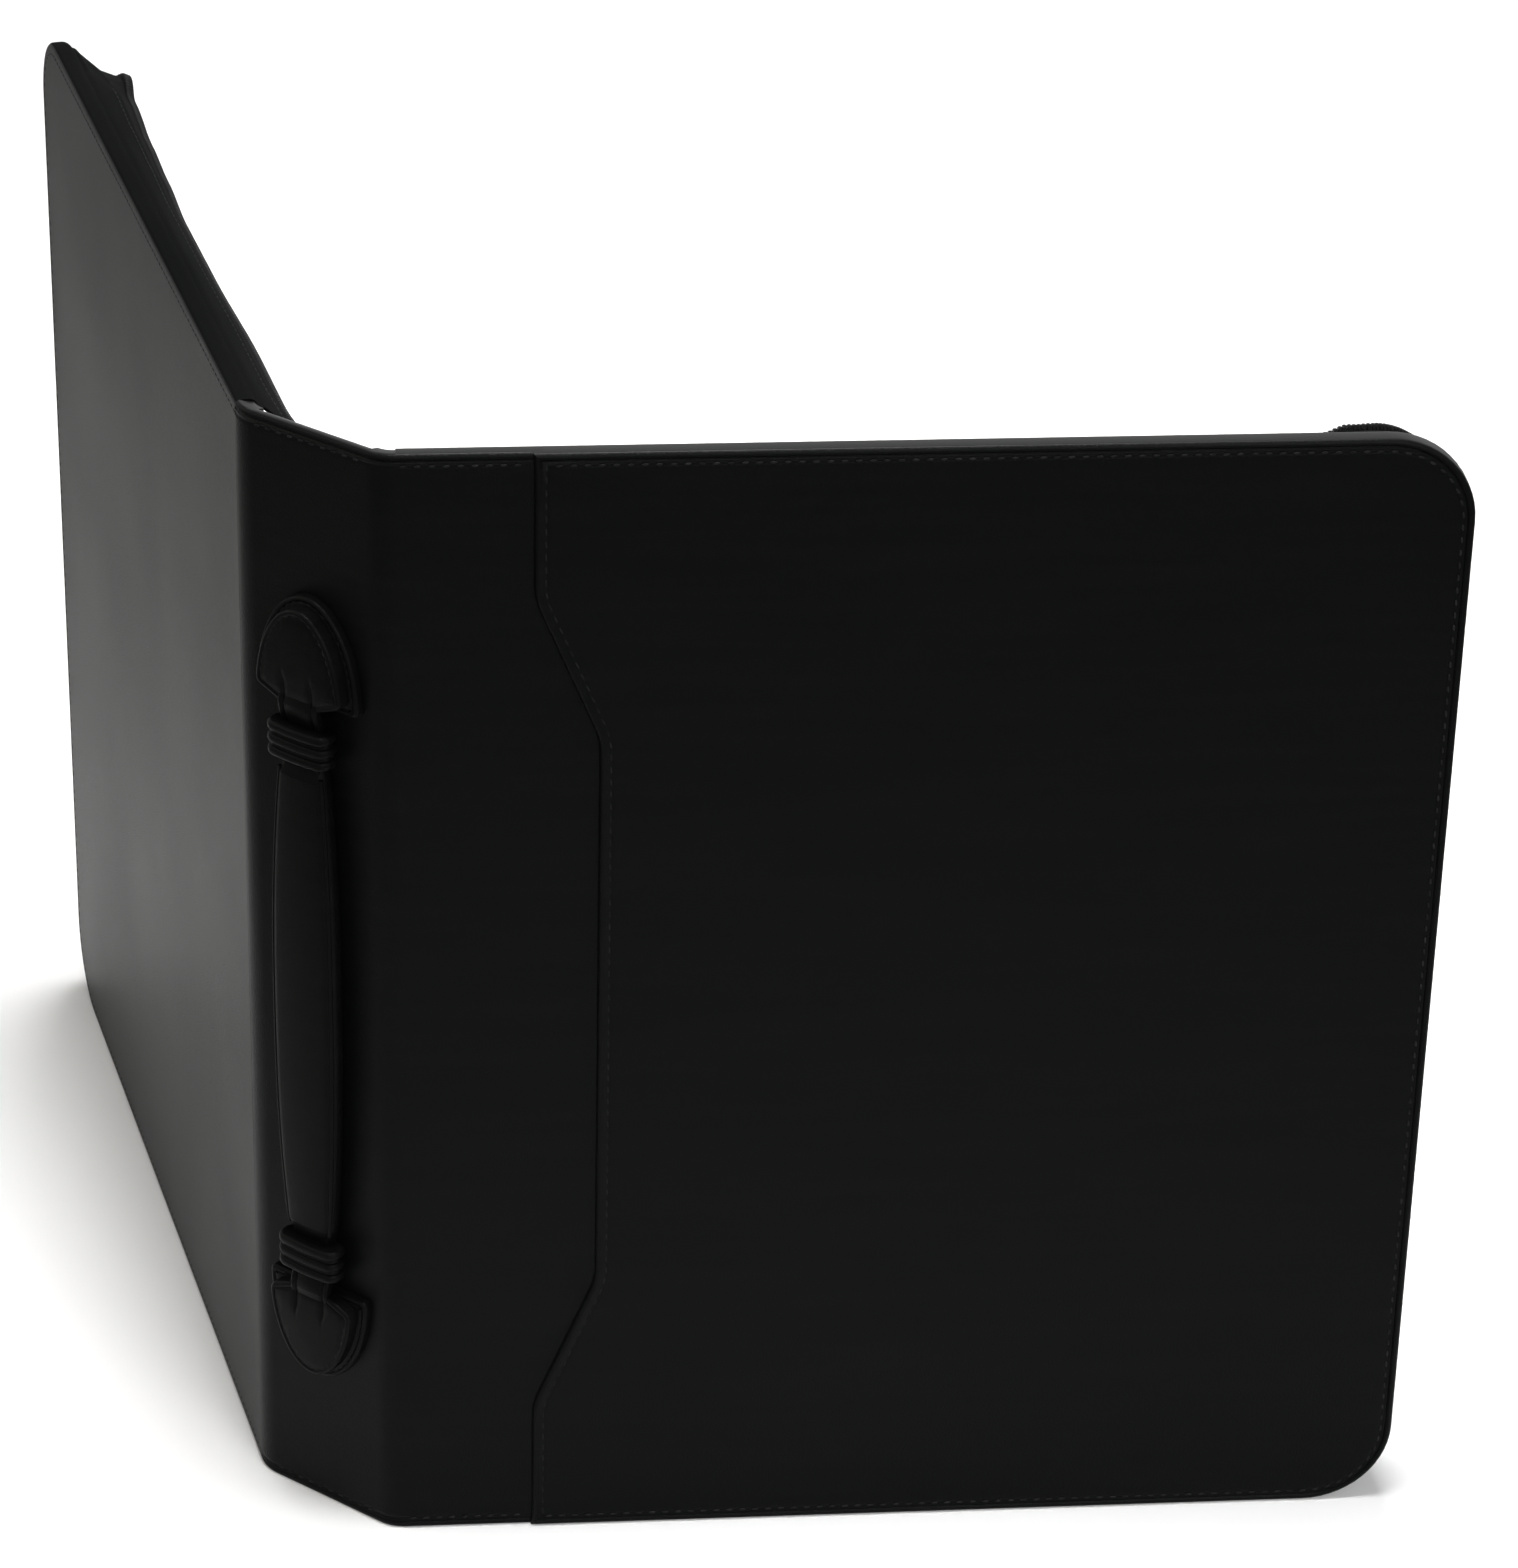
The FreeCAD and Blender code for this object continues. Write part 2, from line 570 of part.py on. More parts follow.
def strap_back():
    """The y of the strap's back face, midway in the grip's ends."""
    return SKIN_OUTER - GRIP_BACK - (GRIP_END[1] - STRAP_THICKNESS) / 2


def strap_piece(low, high):
    """A straight length of the handle's strap."""
    back = strap_back()
    return block((-STRAP_WIDTH / 2, back - STRAP_THICKNESS, low), (STRAP_WIDTH / 2, back, high))


def strap_neck(upwards):
    """The flexible strap between a half-moon and its keeper, from the patch's face down into the handle."""
    edge = MOON_EDGE_HIGH if upwards else MOON_EDGE_LOW
    towards = -1 if upwards else 1
    end = edge + towards * (NECK_LENGTH - NECK_CLEARANCE)
    start_back = SKIN_OUTER - MOON_BASE[2] - MOON_UPPER[2] + MOON_ROUND + STRAP_THICKNESS
    sections = []
    for z, back in ((edge, start_back), (end, strap_back())):
        half = STRAP_WIDTH / 2
        front = back - STRAP_THICKNESS
        corners = [vec(-half, back, z), vec(half, back, z), vec(half, front, z), vec(-half, front, z)]
        sections.append(Part.makePolygon(corners + corners[:1]))
    return Part.makeLoft(sections, True, True)


def grip_section(half_width, thickness, z):
    """A section of the padded grip: flat behind, round at the sides and crowned in front."""
    back = SKIN_OUTER - GRIP_BACK
    round_in = GRIP_ROUND * thickness
    shoulder = back - 2 * round_in
    right_back = vec(half_width - round_in, back, z)
    right_front = vec(half_width - round_in, shoulder, z)
    left_front = vec(round_in - half_width, shoulder, z)
    left_back = vec(round_in - half_width, back, z)
    side = back - round_in
    edges = [line(left_back, right_back), arc(right_back, vec(half_width, side, z), right_front),
             arc(right_front, vec(0, back - thickness, z), left_front),
             arc(left_front, vec(-half_width, side, z), left_back)]
    return Part.Wire(edges)


def handle_grip():
    """The padded grip, widest at its middle, round the strap."""
    low = MOON_EDGE_LOW + NECK_LENGTH + KEEPER_HEIGHT
    high = MOON_EDGE_HIGH - NECK_LENGTH - KEEPER_HEIGHT
    sections = []
    for step in range(GRIP_STEPS + 1):
        share = step / GRIP_STEPS
        swell = 1 - (2 * share - 1) ** 2
        half_width = GRIP_END[0] + swell * (GRIP_MIDDLE[0] - GRIP_END[0])
        thickness = GRIP_END[1] + swell * (GRIP_MIDDLE[1] - GRIP_END[1])
        sections.append(grip_section(half_width, thickness, low + share * (high - low)))
    return Part.makeLoft(sections, True, False).cut(strap_piece(low, high))


def keeper(low):
    """A leather keeper round the strap at one end of the grip, with rounded ribs."""
    pitch = (KEEPER_HEIGHT + KEEPER_GROOVE) / KEEPER_RIBS
    rib_height = pitch - KEEPER_GROOVE
    front = SKIN_OUTER - KEEPER_FRONT
    back = SKIN_OUTER - KEEPER_BACK
    shapes = []
    for index in range(KEEPER_RIBS):
        z0 = low + index * pitch
        rib = block((-KEEPER_HALF_WIDTH, front, z0), (KEEPER_HALF_WIDTH, back, z0 + rib_height))
        uprights = [e for e in rib.Edges if e.BoundBox.ZLength > rib_height / 2]
        rib = rib.makeFillet((back - front) * KEEPER_CORNER, uprights)
        ends = [e for e in rib.Edges if e.BoundBox.ZLength < 1e-6]
        shapes.append(rib.makeFillet(KEEPER_ROUND, ends))
    inset = KEEPER_ROUND
    core = block((inset - KEEPER_HALF_WIDTH, front + inset, low + KEEPER_ROUND),
                 (KEEPER_HALF_WIDTH - inset, back - inset, low + KEEPER_HEIGHT - KEEPER_ROUND))
    uprights = [e for e in core.Edges if e.BoundBox.ZLength > KEEPER_HEIGHT / 2]
    shapes.append(core.makeFillet((back - front) * KEEPER_CORE_CORNER, uprights))
    return fused(shapes).cut(strap_piece(low, low + KEEPER_HEIGHT))


def front_placed(shape):
    """A piece of the front cover, turned to its place."""
    moved = shape.copy()
    moved.rotate(ORIGIN, UP, FRONT_FOLD_DEG)
    moved.translate(FRONT_AXIS)
    return moved


def rear_placed(shape):
    """A piece of the rear cover, mirrored and turned to its place."""
    moved = shape.mirror(ORIGIN, vec(1, 0, 0))
    moved.rotate(ORIGIN, UP, -REAR_FOLD_DEG)
    moved.translate(REAR_AXIS)
    return moved


def spine_nodes():
    """The spine, its fold rolls and the parts of the handle that are sewn to it."""
    return {
        "spine_leather": spine_leather(),
        "spine_board": spine_slab(LEATHER, SKIN_OUTER + LEATHER, SPINE_BOARD_INNER),
        "spine_lining": spine_slab(LEATHER, SPINE_BOARD_INNER, SPINE_INNER),
        "front_fold_roll": fold_roll(1),
        "rear_fold_roll": fold_roll(-1),
        "upper_moon_base": half_moon(MOON_BASE, 0, True),
        "lower_moon_base": half_moon(MOON_BASE, 0, False),
        "upper_moon_patch": half_moon(MOON_UPPER, MOON_BASE[2], True, MOON_SHOULDER),
        "lower_moon_patch": half_moon(MOON_UPPER, MOON_BASE[2], False, MOON_SHOULDER),
        "upper_strap_neck": strap_neck(True),
        "lower_strap_neck": strap_neck(False),
    }


def handle_nodes():
    """The part of the handle that pulls away from the spine."""
    low = MOON_EDGE_LOW + NECK_LENGTH
    high = MOON_EDGE_HIGH - NECK_LENGTH
    return {
        "handle_strap": strap_piece(low, high),
        "handle_grip": handle_grip(),
        "upper_keeper": keeper(high - KEEPER_HEIGHT),
        "lower_keeper": keeper(low),
    }


def zip_side_nodes(name):
    """The gusset, tape, chain and stops of one cover, in the cover's frame."""
    chain_start = GUSSET_START + STOP_LENGTH + STOP_GAP
    return {
        name + "_gusset": gusset_strip(0, GUSSET_WIDTH, *GUSSET_SKIN),
        name + "_zip_tape": gusset_strip(TAPE_START, TAPE_END, -TAPE_HALF, TAPE_HALF),
        name + "_zip_chain": gusset_strip(TAPE_END, CHAIN_END, -CHAIN_HALF, CHAIN_HALF, chain_start),
        name + "_zip_stops": zip_stops(),
    }


def front_nodes():
    """The front cover, in the cover's frame."""
    hollow = filling(SKIN_OUTER + LEATHER, COVER_INNER)
    beyond = seam_field()
    nodes = {
        "front_wrap": rolled_slab(SKIN_OUTER).cut(beyond).cut(hollow),
        "front_panel": rolled_slab(PANEL_OUTER).common(beyond).cut(hollow),
        "front_padding": filling(SKIN_OUTER + LEATHER, BOARD_OUTER),
        "front_board": filling(BOARD_OUTER, BOARD_INNER),
        "front_lining": filling(BOARD_INNER, COVER_INNER),
        "ring_tray": ring_tray(),
        "ring_tray_base": ring_tray_base(),
        "ring_rolls": Part.makeCompound(ring_rolls()),
    }
    nodes.update(zip_side_nodes("front"))
    nodes["zip_slider"] = on_slider(zip_slider())
    nodes["zip_pull"] = on_slider(zip_pull())
    return nodes


def rear_nodes():
    """The rear cover, in the cover's frame."""
    nodes = {
        "rear_leather": rolled_slab(SKIN_OUTER).cut(filling(SKIN_OUTER + LEATHER, COVER_INNER)),
        "rear_padding": filling(SKIN_OUTER + LEATHER, BOARD_OUTER),
        "rear_board": filling(BOARD_OUTER, BOARD_INNER),
        "rear_lining": filling(BOARD_INNER, COVER_INNER),
        "necklace_pad": necklace_pad(),
        "necklace_pegs": Part.makeCompound(necklace_pegs()),
        "catch_pocket": catch_pocket(),
        "pocket_hem": pocket_hem(),
    }
    nodes.update(zip_side_nodes("rear"))
    return nodes


def main():
    """Builds every piece and writes each to its own file."""
    nodes = {}
    nodes.update(spine_nodes())
    nodes.update(handle_nodes())
    nodes.update({name: front_placed(shape) for name, shape in front_nodes().items()})
    nodes.update({name: rear_placed(shape) for name, shape in rear_nodes().items()})
    os.makedirs("parts", exist_ok=True)
    for name, shape in nodes.items():
        if not shape.isValid():
            raise ValueError("invalid solid: " + name)
        shape.exportStep("parts/" + name + ".step")
        print(name, "solids", len(shape.Solids), "volume", round(shape.Volume, 1))


main()
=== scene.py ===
import json
import logging
import math
from dataclasses import dataclass
from enum import Enum
from typing import Callable, Iterator, Sequence

import bmesh
import bpy
import numpy
from mathutils import Matrix, Vector, noise

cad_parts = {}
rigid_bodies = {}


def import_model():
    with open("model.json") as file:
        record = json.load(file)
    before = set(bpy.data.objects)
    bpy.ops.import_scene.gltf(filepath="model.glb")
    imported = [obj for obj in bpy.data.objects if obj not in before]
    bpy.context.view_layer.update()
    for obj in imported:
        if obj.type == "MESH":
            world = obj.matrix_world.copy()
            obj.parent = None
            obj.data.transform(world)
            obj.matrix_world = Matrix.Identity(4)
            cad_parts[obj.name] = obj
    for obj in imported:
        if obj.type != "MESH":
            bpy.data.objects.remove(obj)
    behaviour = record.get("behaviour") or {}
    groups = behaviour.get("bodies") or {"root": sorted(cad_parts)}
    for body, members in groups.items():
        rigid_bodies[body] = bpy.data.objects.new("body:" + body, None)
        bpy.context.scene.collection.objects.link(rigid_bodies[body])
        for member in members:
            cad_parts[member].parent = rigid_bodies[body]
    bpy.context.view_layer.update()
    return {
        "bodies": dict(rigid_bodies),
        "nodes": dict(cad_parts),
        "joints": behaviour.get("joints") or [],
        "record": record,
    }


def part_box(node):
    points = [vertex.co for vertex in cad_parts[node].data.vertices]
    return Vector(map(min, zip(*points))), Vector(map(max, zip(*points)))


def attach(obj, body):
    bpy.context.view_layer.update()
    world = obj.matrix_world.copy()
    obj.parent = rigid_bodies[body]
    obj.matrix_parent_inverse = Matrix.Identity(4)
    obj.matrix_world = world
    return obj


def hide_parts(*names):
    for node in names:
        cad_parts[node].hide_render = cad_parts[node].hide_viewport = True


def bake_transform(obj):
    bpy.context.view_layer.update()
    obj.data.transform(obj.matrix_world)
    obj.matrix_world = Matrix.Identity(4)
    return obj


# The looks of a book-shaped leather jewelry case that stands half open. Metres, in the case's own frame:
# the origin is the middle of the spine's foot, +Z is up and the handle faces -Y.

LOG = logging.getLogger("jewelry_case")
MM = 0.001
HAIR = 0.002 * MM
MERGE = 0.0005 * MM
FACE_FRAME = Matrix.Rotation(math.pi / 2, 4, "X")

Colour = tuple[float, float, float]
Corner = tuple[float, float]
Face = bmesh.types.BMFace
Mesh = bmesh.types.BMesh
Node = bpy.types.Node
Rings = list[tuple[float, float]]
Segment = tuple[Vector, Vector]
Socket = bpy.types.NodeSocket
Triple = tuple[float, float, float]


class Body(Enum):
    """The bodies that new pieces ride."""

    SPINE = "spine"
    HANDLE = "handle"
    FRONT = "front_cover"
    REAR = "rear_cover"


class Slot(Enum):
    """The finishes that the case's record names."""

    LEATHER = "leather"
    BOARD = "board"
    FOAM = "foam"
    VELVET = "velvet"
    SATIN = "satin"
    ZIP_TAPE = "zip_tape"
    ZIP_CHAIN = "zip_chain"
    ZIP_METAL = "zip_metal"
    PEG_METAL = "peg_metal"


def frame_of(across: Vector, up: Vector, out: Vector, origin: Vector | Triple) -> Matrix:
    """A frame from its three axes and its origin."""
    return Matrix.Translation(origin) @ Matrix((across, up, out)).transposed().to_4x4()


def add_object(name: str, data: bpy.types.ID) -> bpy.types.Object:
    """Puts a mesh, a lamp or a camera in the scene.

    Args:
        name: the object's name.
        data: what it shows.

    Returns:
        The new object.
    """
    made = bpy.data.objects.new(name, data)
    bpy.context.scene.collection.objects.link(made)
    return made


class Drafter:
    """Draws shader nodes in one tree, from a node that gives values to a node that takes results."""

    def __init__(self, tree: bpy.types.NodeTree, giver: str, taker: str) -> None:
        """Starts on an empty tree.

        Args:
            tree: the tree.
            giver: the type name of the node that gives values.
            taker: the type name of the node that takes results.
        """
        self.tree = tree
        self.giver = self.node(giver)
        self.taker = self.node(taker)

    @staticmethod
    def fresh(owner: bpy.types.Material | bpy.types.World, giver: str, shader: str) -> "Drafter":
        """Starts on an emptied tree, with a shader that shows.

        Args:
            owner: the material or the world that has the tree.
            giver: the type name of the node that gives values.
            shader: the type name of the shader.

        Returns:
            The tree's drafter.
        """
        owner.use_nodes = True
        owner.node_tree.nodes.clear()
        made = Drafter(owner.node_tree, giver, shader)
        output = made.node("ShaderNodeOutput" + type(owner).__name__)
        made.link(made.taker.outputs[0], output.inputs["Surface"])
        return made

    def get(self, label: str) -> Socket:
        """One of the values given."""
        return self.giver.outputs[label]

    def put(self, label: str, value: object) -> None:
        """Hands over one of the results: a socket, a number or a colour."""
        self.feed(self.taker.inputs[label], value)

    def node(self, kind: str, **settings: object) -> Node:
        """Adds a node.

        Args:
            kind: the node's type name.
            settings: values for the node's own properties.

        Returns:
            The new node.
        """
        made = self.tree.nodes.new(kind)
        for key, value in settings.items():
            setattr(made, key, value)
        return made

    def link(self, source: Socket, target: Socket) -> None:
        """Joins two sockets."""
        self.tree.links.new(source, target)

    def feed(self, target: Socket, value: object) -> None:
        """Gives an input its value.

        Args:
            target: the input.
            value: a socket, a number or a colour.
        """
        if isinstance(value, Socket):
            self.link(value, target)
        elif isinstance(value, tuple):
            target.default_value = (*value, 1.0)
        else:
            target.default_value = value

    def math(self, kind: str, first: object, second: object) -> Socket:
        """Adds an arithmetic step on two values.

        Args:
            kind: the operation.
            first: a socket or a number.
            second: a socket or a number.

        Returns:
            The result's socket.
        """
        made = self.node("ShaderNodeMath", operation=kind)
        self.feed(made.inputs[0], first)
        self.feed(made.inputs[1], second)
        return made.outputs[0]

    def remap(self, value: Socket, **ends: float) -> Socket:
        """Maps a value from one range onto another.

        Args:
            value: the socket to map.
            ends: those ends of the ranges that aren't 0 and 1, by name with underscores.

        Returns:
            The result's socket.
        """
        made = self.node("ShaderNodeMapRange")
        self.link(value, made.inputs["Value"])
        for label, end in ends.items():
            made.inputs[label.replace("_", " ")].default_value = end
        return made.outputs["Result"]

    def spread(self, value: Socket, low: float, high: float) -> Socket:
        """Maps a value between 0 and 1 onto a range."""
        return self.remap(value, To_Min=low, To_Max=high)

    def window(self, value: Socket, low: float, high: float) -> Socket:
        """Maps a stretch of a value onto 0 to 1."""
        return self.remap(value, From_Min=low, From_Max=high)

    def noise(self, place: Socket, scale: object, detail: float) -> Socket:
        """Adds a soft random pattern.

        Args:
            place: the coordinates that it reads.
            scale: how fine it is, a socket or a number.
            detail: how many finer patterns lie on it.

        Returns:
            The pattern's socket.
        """
        made = self.node("ShaderNodeTexNoise")
        made.inputs["Detail"].default_value = detail
        self.link(place, made.inputs["Vector"])
        self.feed(made.inputs["Scale"], scale)
        return made.outputs["Fac"]

    def stretch(self, place: Socket, scales: Triple) -> Socket:
        """Scales coordinates.

        Args:
            place: the coordinates.
            scales: the amount for each axis.

        Returns:
            The scaled coordinates.
        """
        made = self.node("ShaderNodeVectorMath", operation="MULTIPLY")
        self.link(place, made.inputs[0])
        made.inputs[1].default_value = scales
        return made.outputs[0]

    def mix(self, share: Socket, first: object, second: object) -> Socket:
        """Mixes two colours by a share.

        Args:
            share: how much of the second colour shows.
            first: a socket or a colour.
            second: a socket or a colour.

        Returns:
            The mixed colour's socket.
        """
        made = self.node("ShaderNodeMix", data_type="RGBA")
        self.link(share, made.inputs["Factor"])
        self.feed(made.inputs[6], first)
        self.feed(made.inputs[7], second)
        return made.outputs[2]


class SharedPattern:
    """A node group that several finishes place with their own values."""

    name = "shared_pattern"
    inputs: tuple[tuple[str, float], ...] = ()
    outputs: tuple[str, ...] = ()

    def tree(self) -> bpy.types.NodeTree:
        """Gives the group, drawn once.

        Returns:
            The group's node tree.
        """
        found = bpy.data.node_groups.get(self.name)
        if found:
            return found
        made = bpy.data.node_groups.new(self.name, "ShaderNodeTree")
        made.interface.new_socket("Vector", in_out="INPUT", socket_type="NodeSocketVector")
        for label, value in self.inputs:
            socket = made.interface.new_socket(label, in_out="INPUT", socket_type="NodeSocketFloat")
            socket.default_value = value
        for label in self.outputs:
            made.interface.new_socket(label, in_out="OUTPUT", socket_type="NodeSocketFloat")
        self.draw(Drafter(made, "NodeGroupInput", "NodeGroupOutput"))
        return made

    def draw(self, draft: Drafter) -> None:
        """Draws the pattern.

        Args:
            draft: the group's drafter.
        """
        raise NotImplementedError

    def place(self, draft: Drafter, vector: Socket, **values: float) -> Node:
        """Places the group in a material.

        Args:
            draft: the material's drafter.
            vector: the coordinates that the pattern reads.
            values: the group's own input values, by name with underscores.

        Returns:
            The group's node.
        """
        made = draft.node("ShaderNodeGroup", node_tree=self.tree())
        draft.link(vector, made.inputs["Vector"])
        for label, value in values.items():
            made.inputs[label.replace("_", " ")].default_value = value
        return made


class LeatherGrain(SharedPattern):
    """Fine rounded pebbles with creases between them, and pores."""

    name = "leather_grain"
    inputs = (("Pebbles", 900.0), ("Crease", 0.5))
    outputs = ("Height", "Creases")

    def draw(self, draft: Drafter) -> None:
        """Draws pebbles by cells, bent by a soft noise so that no cell is straight.

        Args:
            draft: the group's drafter.
        """
        where = draft.get("Vector")
        pebbles = draft.get("Pebbles")
        bend = draft.node("ShaderNodeTexNoise")
        bend.inputs["Scale"].default_value = 160.0
        draft.link(where, bend.inputs["Vector"])
        pull = draft.node("ShaderNodeVectorMath", operation="SCALE")
        draft.link(bend.outputs["Color"], pull.inputs[0])
        pull.inputs["Scale"].default_value = 0.0012
        moved = draft.node("ShaderNodeVectorMath", operation="ADD")
        draft.link(where, moved.inputs[0])
        draft.link(pull.outputs[0], moved.inputs[1])
        cells = draft.node("ShaderNodeTexVoronoi", feature="DISTANCE_TO_EDGE")
        draft.link(moved.outputs[0], cells.inputs["Vector"])
        draft.link(pebbles, cells.inputs["Scale"])
        dome = draft.window(cells.outputs["Distance"], 0.0, 0.32)
        pores = draft.noise(where, draft.math("MULTIPLY", pebbles, 2.6), 3.0)
        creased = draft.math("MULTIPLY", dome, draft.get("Crease"))
        draft.put("Height", draft.math("ADD", creased, draft.math("MULTIPLY", pores, 0.35)))
        draft.put("Creases", draft.math("SUBTRACT", 1.0, dome))


class HandlingWear(SharedPattern):
    """Slow patches where hands and cloth have polished a surface, and faint rubs across it."""

    name = "handling_wear"
    inputs = (("Patches", 14.0), ("Rubs", 240.0))
    outputs = ("Polish", "Streaks")

    def draw(self, draft: Drafter) -> None:
        """Draws broad patches, and streaks that lie level and are far longer than wide.

        Args:
            draft: the group's drafter.
        """
        where = draft.get("Vector")
        patches = draft.noise(where, draft.get("Patches"), 4.0)
        draft.put("Polish", draft.window(patches, 0.32, 0.72))
        level = draft.stretch(where, (0.06, 0.06, 1.0))
        rubs = draft.noise(level, draft.get("Rubs"), 5.0)
        draft.put("Streaks", draft.window(rubs, 0.38, 0.70))


class ClothWeave(SharedPattern):
    """Threads crossing over and under in the flat of the coordinates given."""

    name = "cloth_weave"
    inputs = (("Warp", 900.0), ("Weft", 900.0))
    outputs = ("Height", "Over")

    def draw(self, draft: Drafter) -> None:
        """Draws two rows of round threads and lets them take turns on top.

        Args:
            draft: the group's drafter.
        """
        where = draft.get("Vector")
        parts = draft.node("ShaderNodeSeparateXYZ")
        draft.link(where, parts.inputs[0])
        across = draft.math("SINE", draft.math("MULTIPLY", parts.outputs["X"], draft.get("Warp")), 0.0)
        along = draft.math("SINE", draft.math("MULTIPLY", parts.outputs["Y"], draft.get("Weft")), 0.0)
        over = draft.window(draft.math("MULTIPLY", across, along), -1.0, 1.0)
        fuzz = draft.noise(where, 2400.0, 2.0)
        draft.put("Height", draft.math("ADD", over, draft.math("MULTIPLY", fuzz, 0.4)))
        draft.put("Over", over)


class PileNap(SharedPattern):
    """Short pile that leans one way in some patches and the other in others."""

    name = "pile_nap"
    inputs = (("Fibres", 2600.0), ("Brushed", 60.0))
    outputs = ("Height", "Lean")

    def draw(self, draft: Drafter) -> None:
        """Draws fibres as fine noise and the lean as a broad one.

        Args:
            draft: the group's drafter.
        """
        where = draft.get("Vector")
        draft.put("Height", draft.noise(where, draft.get("Fibres"), 2.0))
        lean = draft.noise(where, draft.get("Brushed"), 3.0)
        draft.put("Lean", draft.window(lean, 0.35, 0.68))


class FineScratches(SharedPattern):
    """Hair scratches and dull specks on plated metal."""

    name = "fine_scratches"
    inputs = (("Hairs", 900.0), ("Specks", 700.0))
    outputs = ("Marks", "Dulling")

    def draw(self, draft: Drafter) -> None:
        """Draws stretched noise for hairs and plain noise for specks.

        Args:
            draft: the group's drafter.
        """
        where = draft.get("Vector")
        thin = draft.stretch(where, (0.12, 1.0, 1.0))
        hairs = draft.noise(thin, draft.get("Hairs"), 4.0)
        specks = draft.noise(where, draft.get("Specks"), 3.0)
        draft.put("Marks", draft.window(hairs, 0.45, 0.75))
        draft.put("Dulling", draft.window(specks, 0.40, 0.70))


@dataclass(frozen=True)
class Finish:
    """What every finish has: a name, a slot of the record, and a way to make its material."""

    name: str
    slot: Slot

    def material(self) -> bpy.types.Material:
        """Gives the finish's material, made once.

        Returns:
            The material.
        """
        found = bpy.data.materials.get(self.name)
        if found:
            return found
        made = bpy.data.materials.new(self.name)
        self.paint(Drafter.fresh(made, "ShaderNodeTexCoord", "ShaderNodeBsdfPrincipled"))
        return made

    def paint(self, draft: Drafter) -> None:
        """Draws the finish's nodes.

        Args:
            draft: the material's drafter.
        """
        raise NotImplementedError

    def coat(self, draft: Drafter, colour: Socket, rough: Socket, height: Socket, depth: float) -> None:
        """Joins a finish's patterns to its shader.

        Args:
            draft: the material's drafter.
            colour: the surface's colour.
            rough: its roughness.
            height: the pattern that raises it, 0 to 1.
            depth: the height of that pattern's highest point, in metres.
        """
        draft.put("Base Color", colour)
        draft.put("Roughness", rough)
        bump = draft.node("ShaderNodeBump")
        bump.inputs["Distance"].default_value = depth
        draft.link(height, bump.inputs["Height"])
        draft.put("Normal", bump.outputs["Normal"])


@dataclass(frozen=True)
class Leather(Finish):
    """Smooth black hide with a fine grain, handled to a slight polish."""

    dark: Colour = (0.0022, 0.0025, 0.0024)
    pale: Colour = (0.0042, 0.0044, 0.0042)
    rough_low: float = 0.35
    rough_high: float = 0.39
    specular: float = 0.042
    pebbles: float = 1150.0
    grain: float = 0.07 * MM

    def paint(self, draft: Drafter) -> None:
        """Draws grain into the surface, and wear into its colour and gloss.

        Args:
            draft: the material's drafter.
        """
        where = draft.get("Object")
        grain = LeatherGrain().place(draft, where, Pebbles=self.pebbles, Crease=0.6)
        wear = HandlingWear().place(draft, where, Patches=11.0, Rubs=300.0)
        faded = draft.mix(wear.outputs["Streaks"], self.dark, self.pale)
        colour = draft.mix(grain.outputs["Creases"], faded, self.dark)
        rough = draft.spread(wear.outputs["Polish"], self.rough_high, self.rough_low)
        draft.put("Specular IOR Level", self.specular)
        self.coat(draft, colour, rough, grain.outputs["Height"], self.grain)


@dataclass(frozen=True)
class Thread(Finish):
    """Waxed sewing thread, twisted."""

    colour: Colour = (0.018, 0.018, 0.0185)
    shade: Colour = (0.007, 0.007, 0.007)

    def paint(self, draft: Drafter) -> None:
        """Draws the twist as fine crossing bands.

        Args:
            draft: the material's drafter.
        """
        where = draft.get("Object")
        weave = ClothWeave().place(draft, where, Warp=9000.0, Weft=9000.0)
        nap = PileNap().place(draft, where, Fibres=4200.0, Brushed=300.0)
        colour = draft.mix(nap.outputs["Lean"], self.shade, self.colour)
        rough = draft.spread(weave.outputs["Over"], 0.42, 0.60)
        draft.put("Specular IOR Level", 0.05)
        self.coat(draft, colour, rough, weave.outputs["Height"], 0.04 * MM)


@dataclass(frozen=True)
class WovenTape(Finish):
    """Black polyester zip tape, a close twill."""

    colour: Colour = (0.009, 0.009, 0.0095)
    shade: Colour = (0.0035, 0.0035, 0.0037)
    threads: float = 9500.0

    def paint(self, draft: Drafter) -> None:
        """Draws the weave on the strip's own flat map.

        Args:
            draft: the material's drafter.
        """
        where = draft.get("UV")
        weave = ClothWeave().place(draft, where, Warp=self.threads, Weft=self.threads)
        colour = draft.mix(weave.outputs["Over"], self.shade, self.colour)
        rough = draft.spread(weave.outputs["Over"], 0.85, 0.65)
        draft.put("Specular IOR Level", 0.03)
        self.coat(draft, colour, rough, weave.outputs["Height"], 0.10 * MM)


@dataclass(frozen=True)
class Nylon(Finish):
    """Moulded black nylon of the zip's teeth."""

    colour: Colour = (0.0075, 0.0075, 0.008)
    worn: Colour = (0.016, 0.016, 0.017)

    def paint(self, draft: Drafter) -> None:
        """Draws slight wear on a moulded gloss.

        Args:
            draft: the material's drafter.
        """
        marks = FineScratches().place(draft, draft.get("Object"), Hairs=1600.0, Specks=900.0)
        colour = draft.mix(marks.outputs["Marks"], self.colour, self.worn)
        rough = draft.spread(marks.outputs["Dulling"], 0.42, 0.58)
        draft.put("Specular IOR Level", 0.05)
        self.coat(draft, colour, rough, marks.outputs["Marks"], 0.02 * MM)


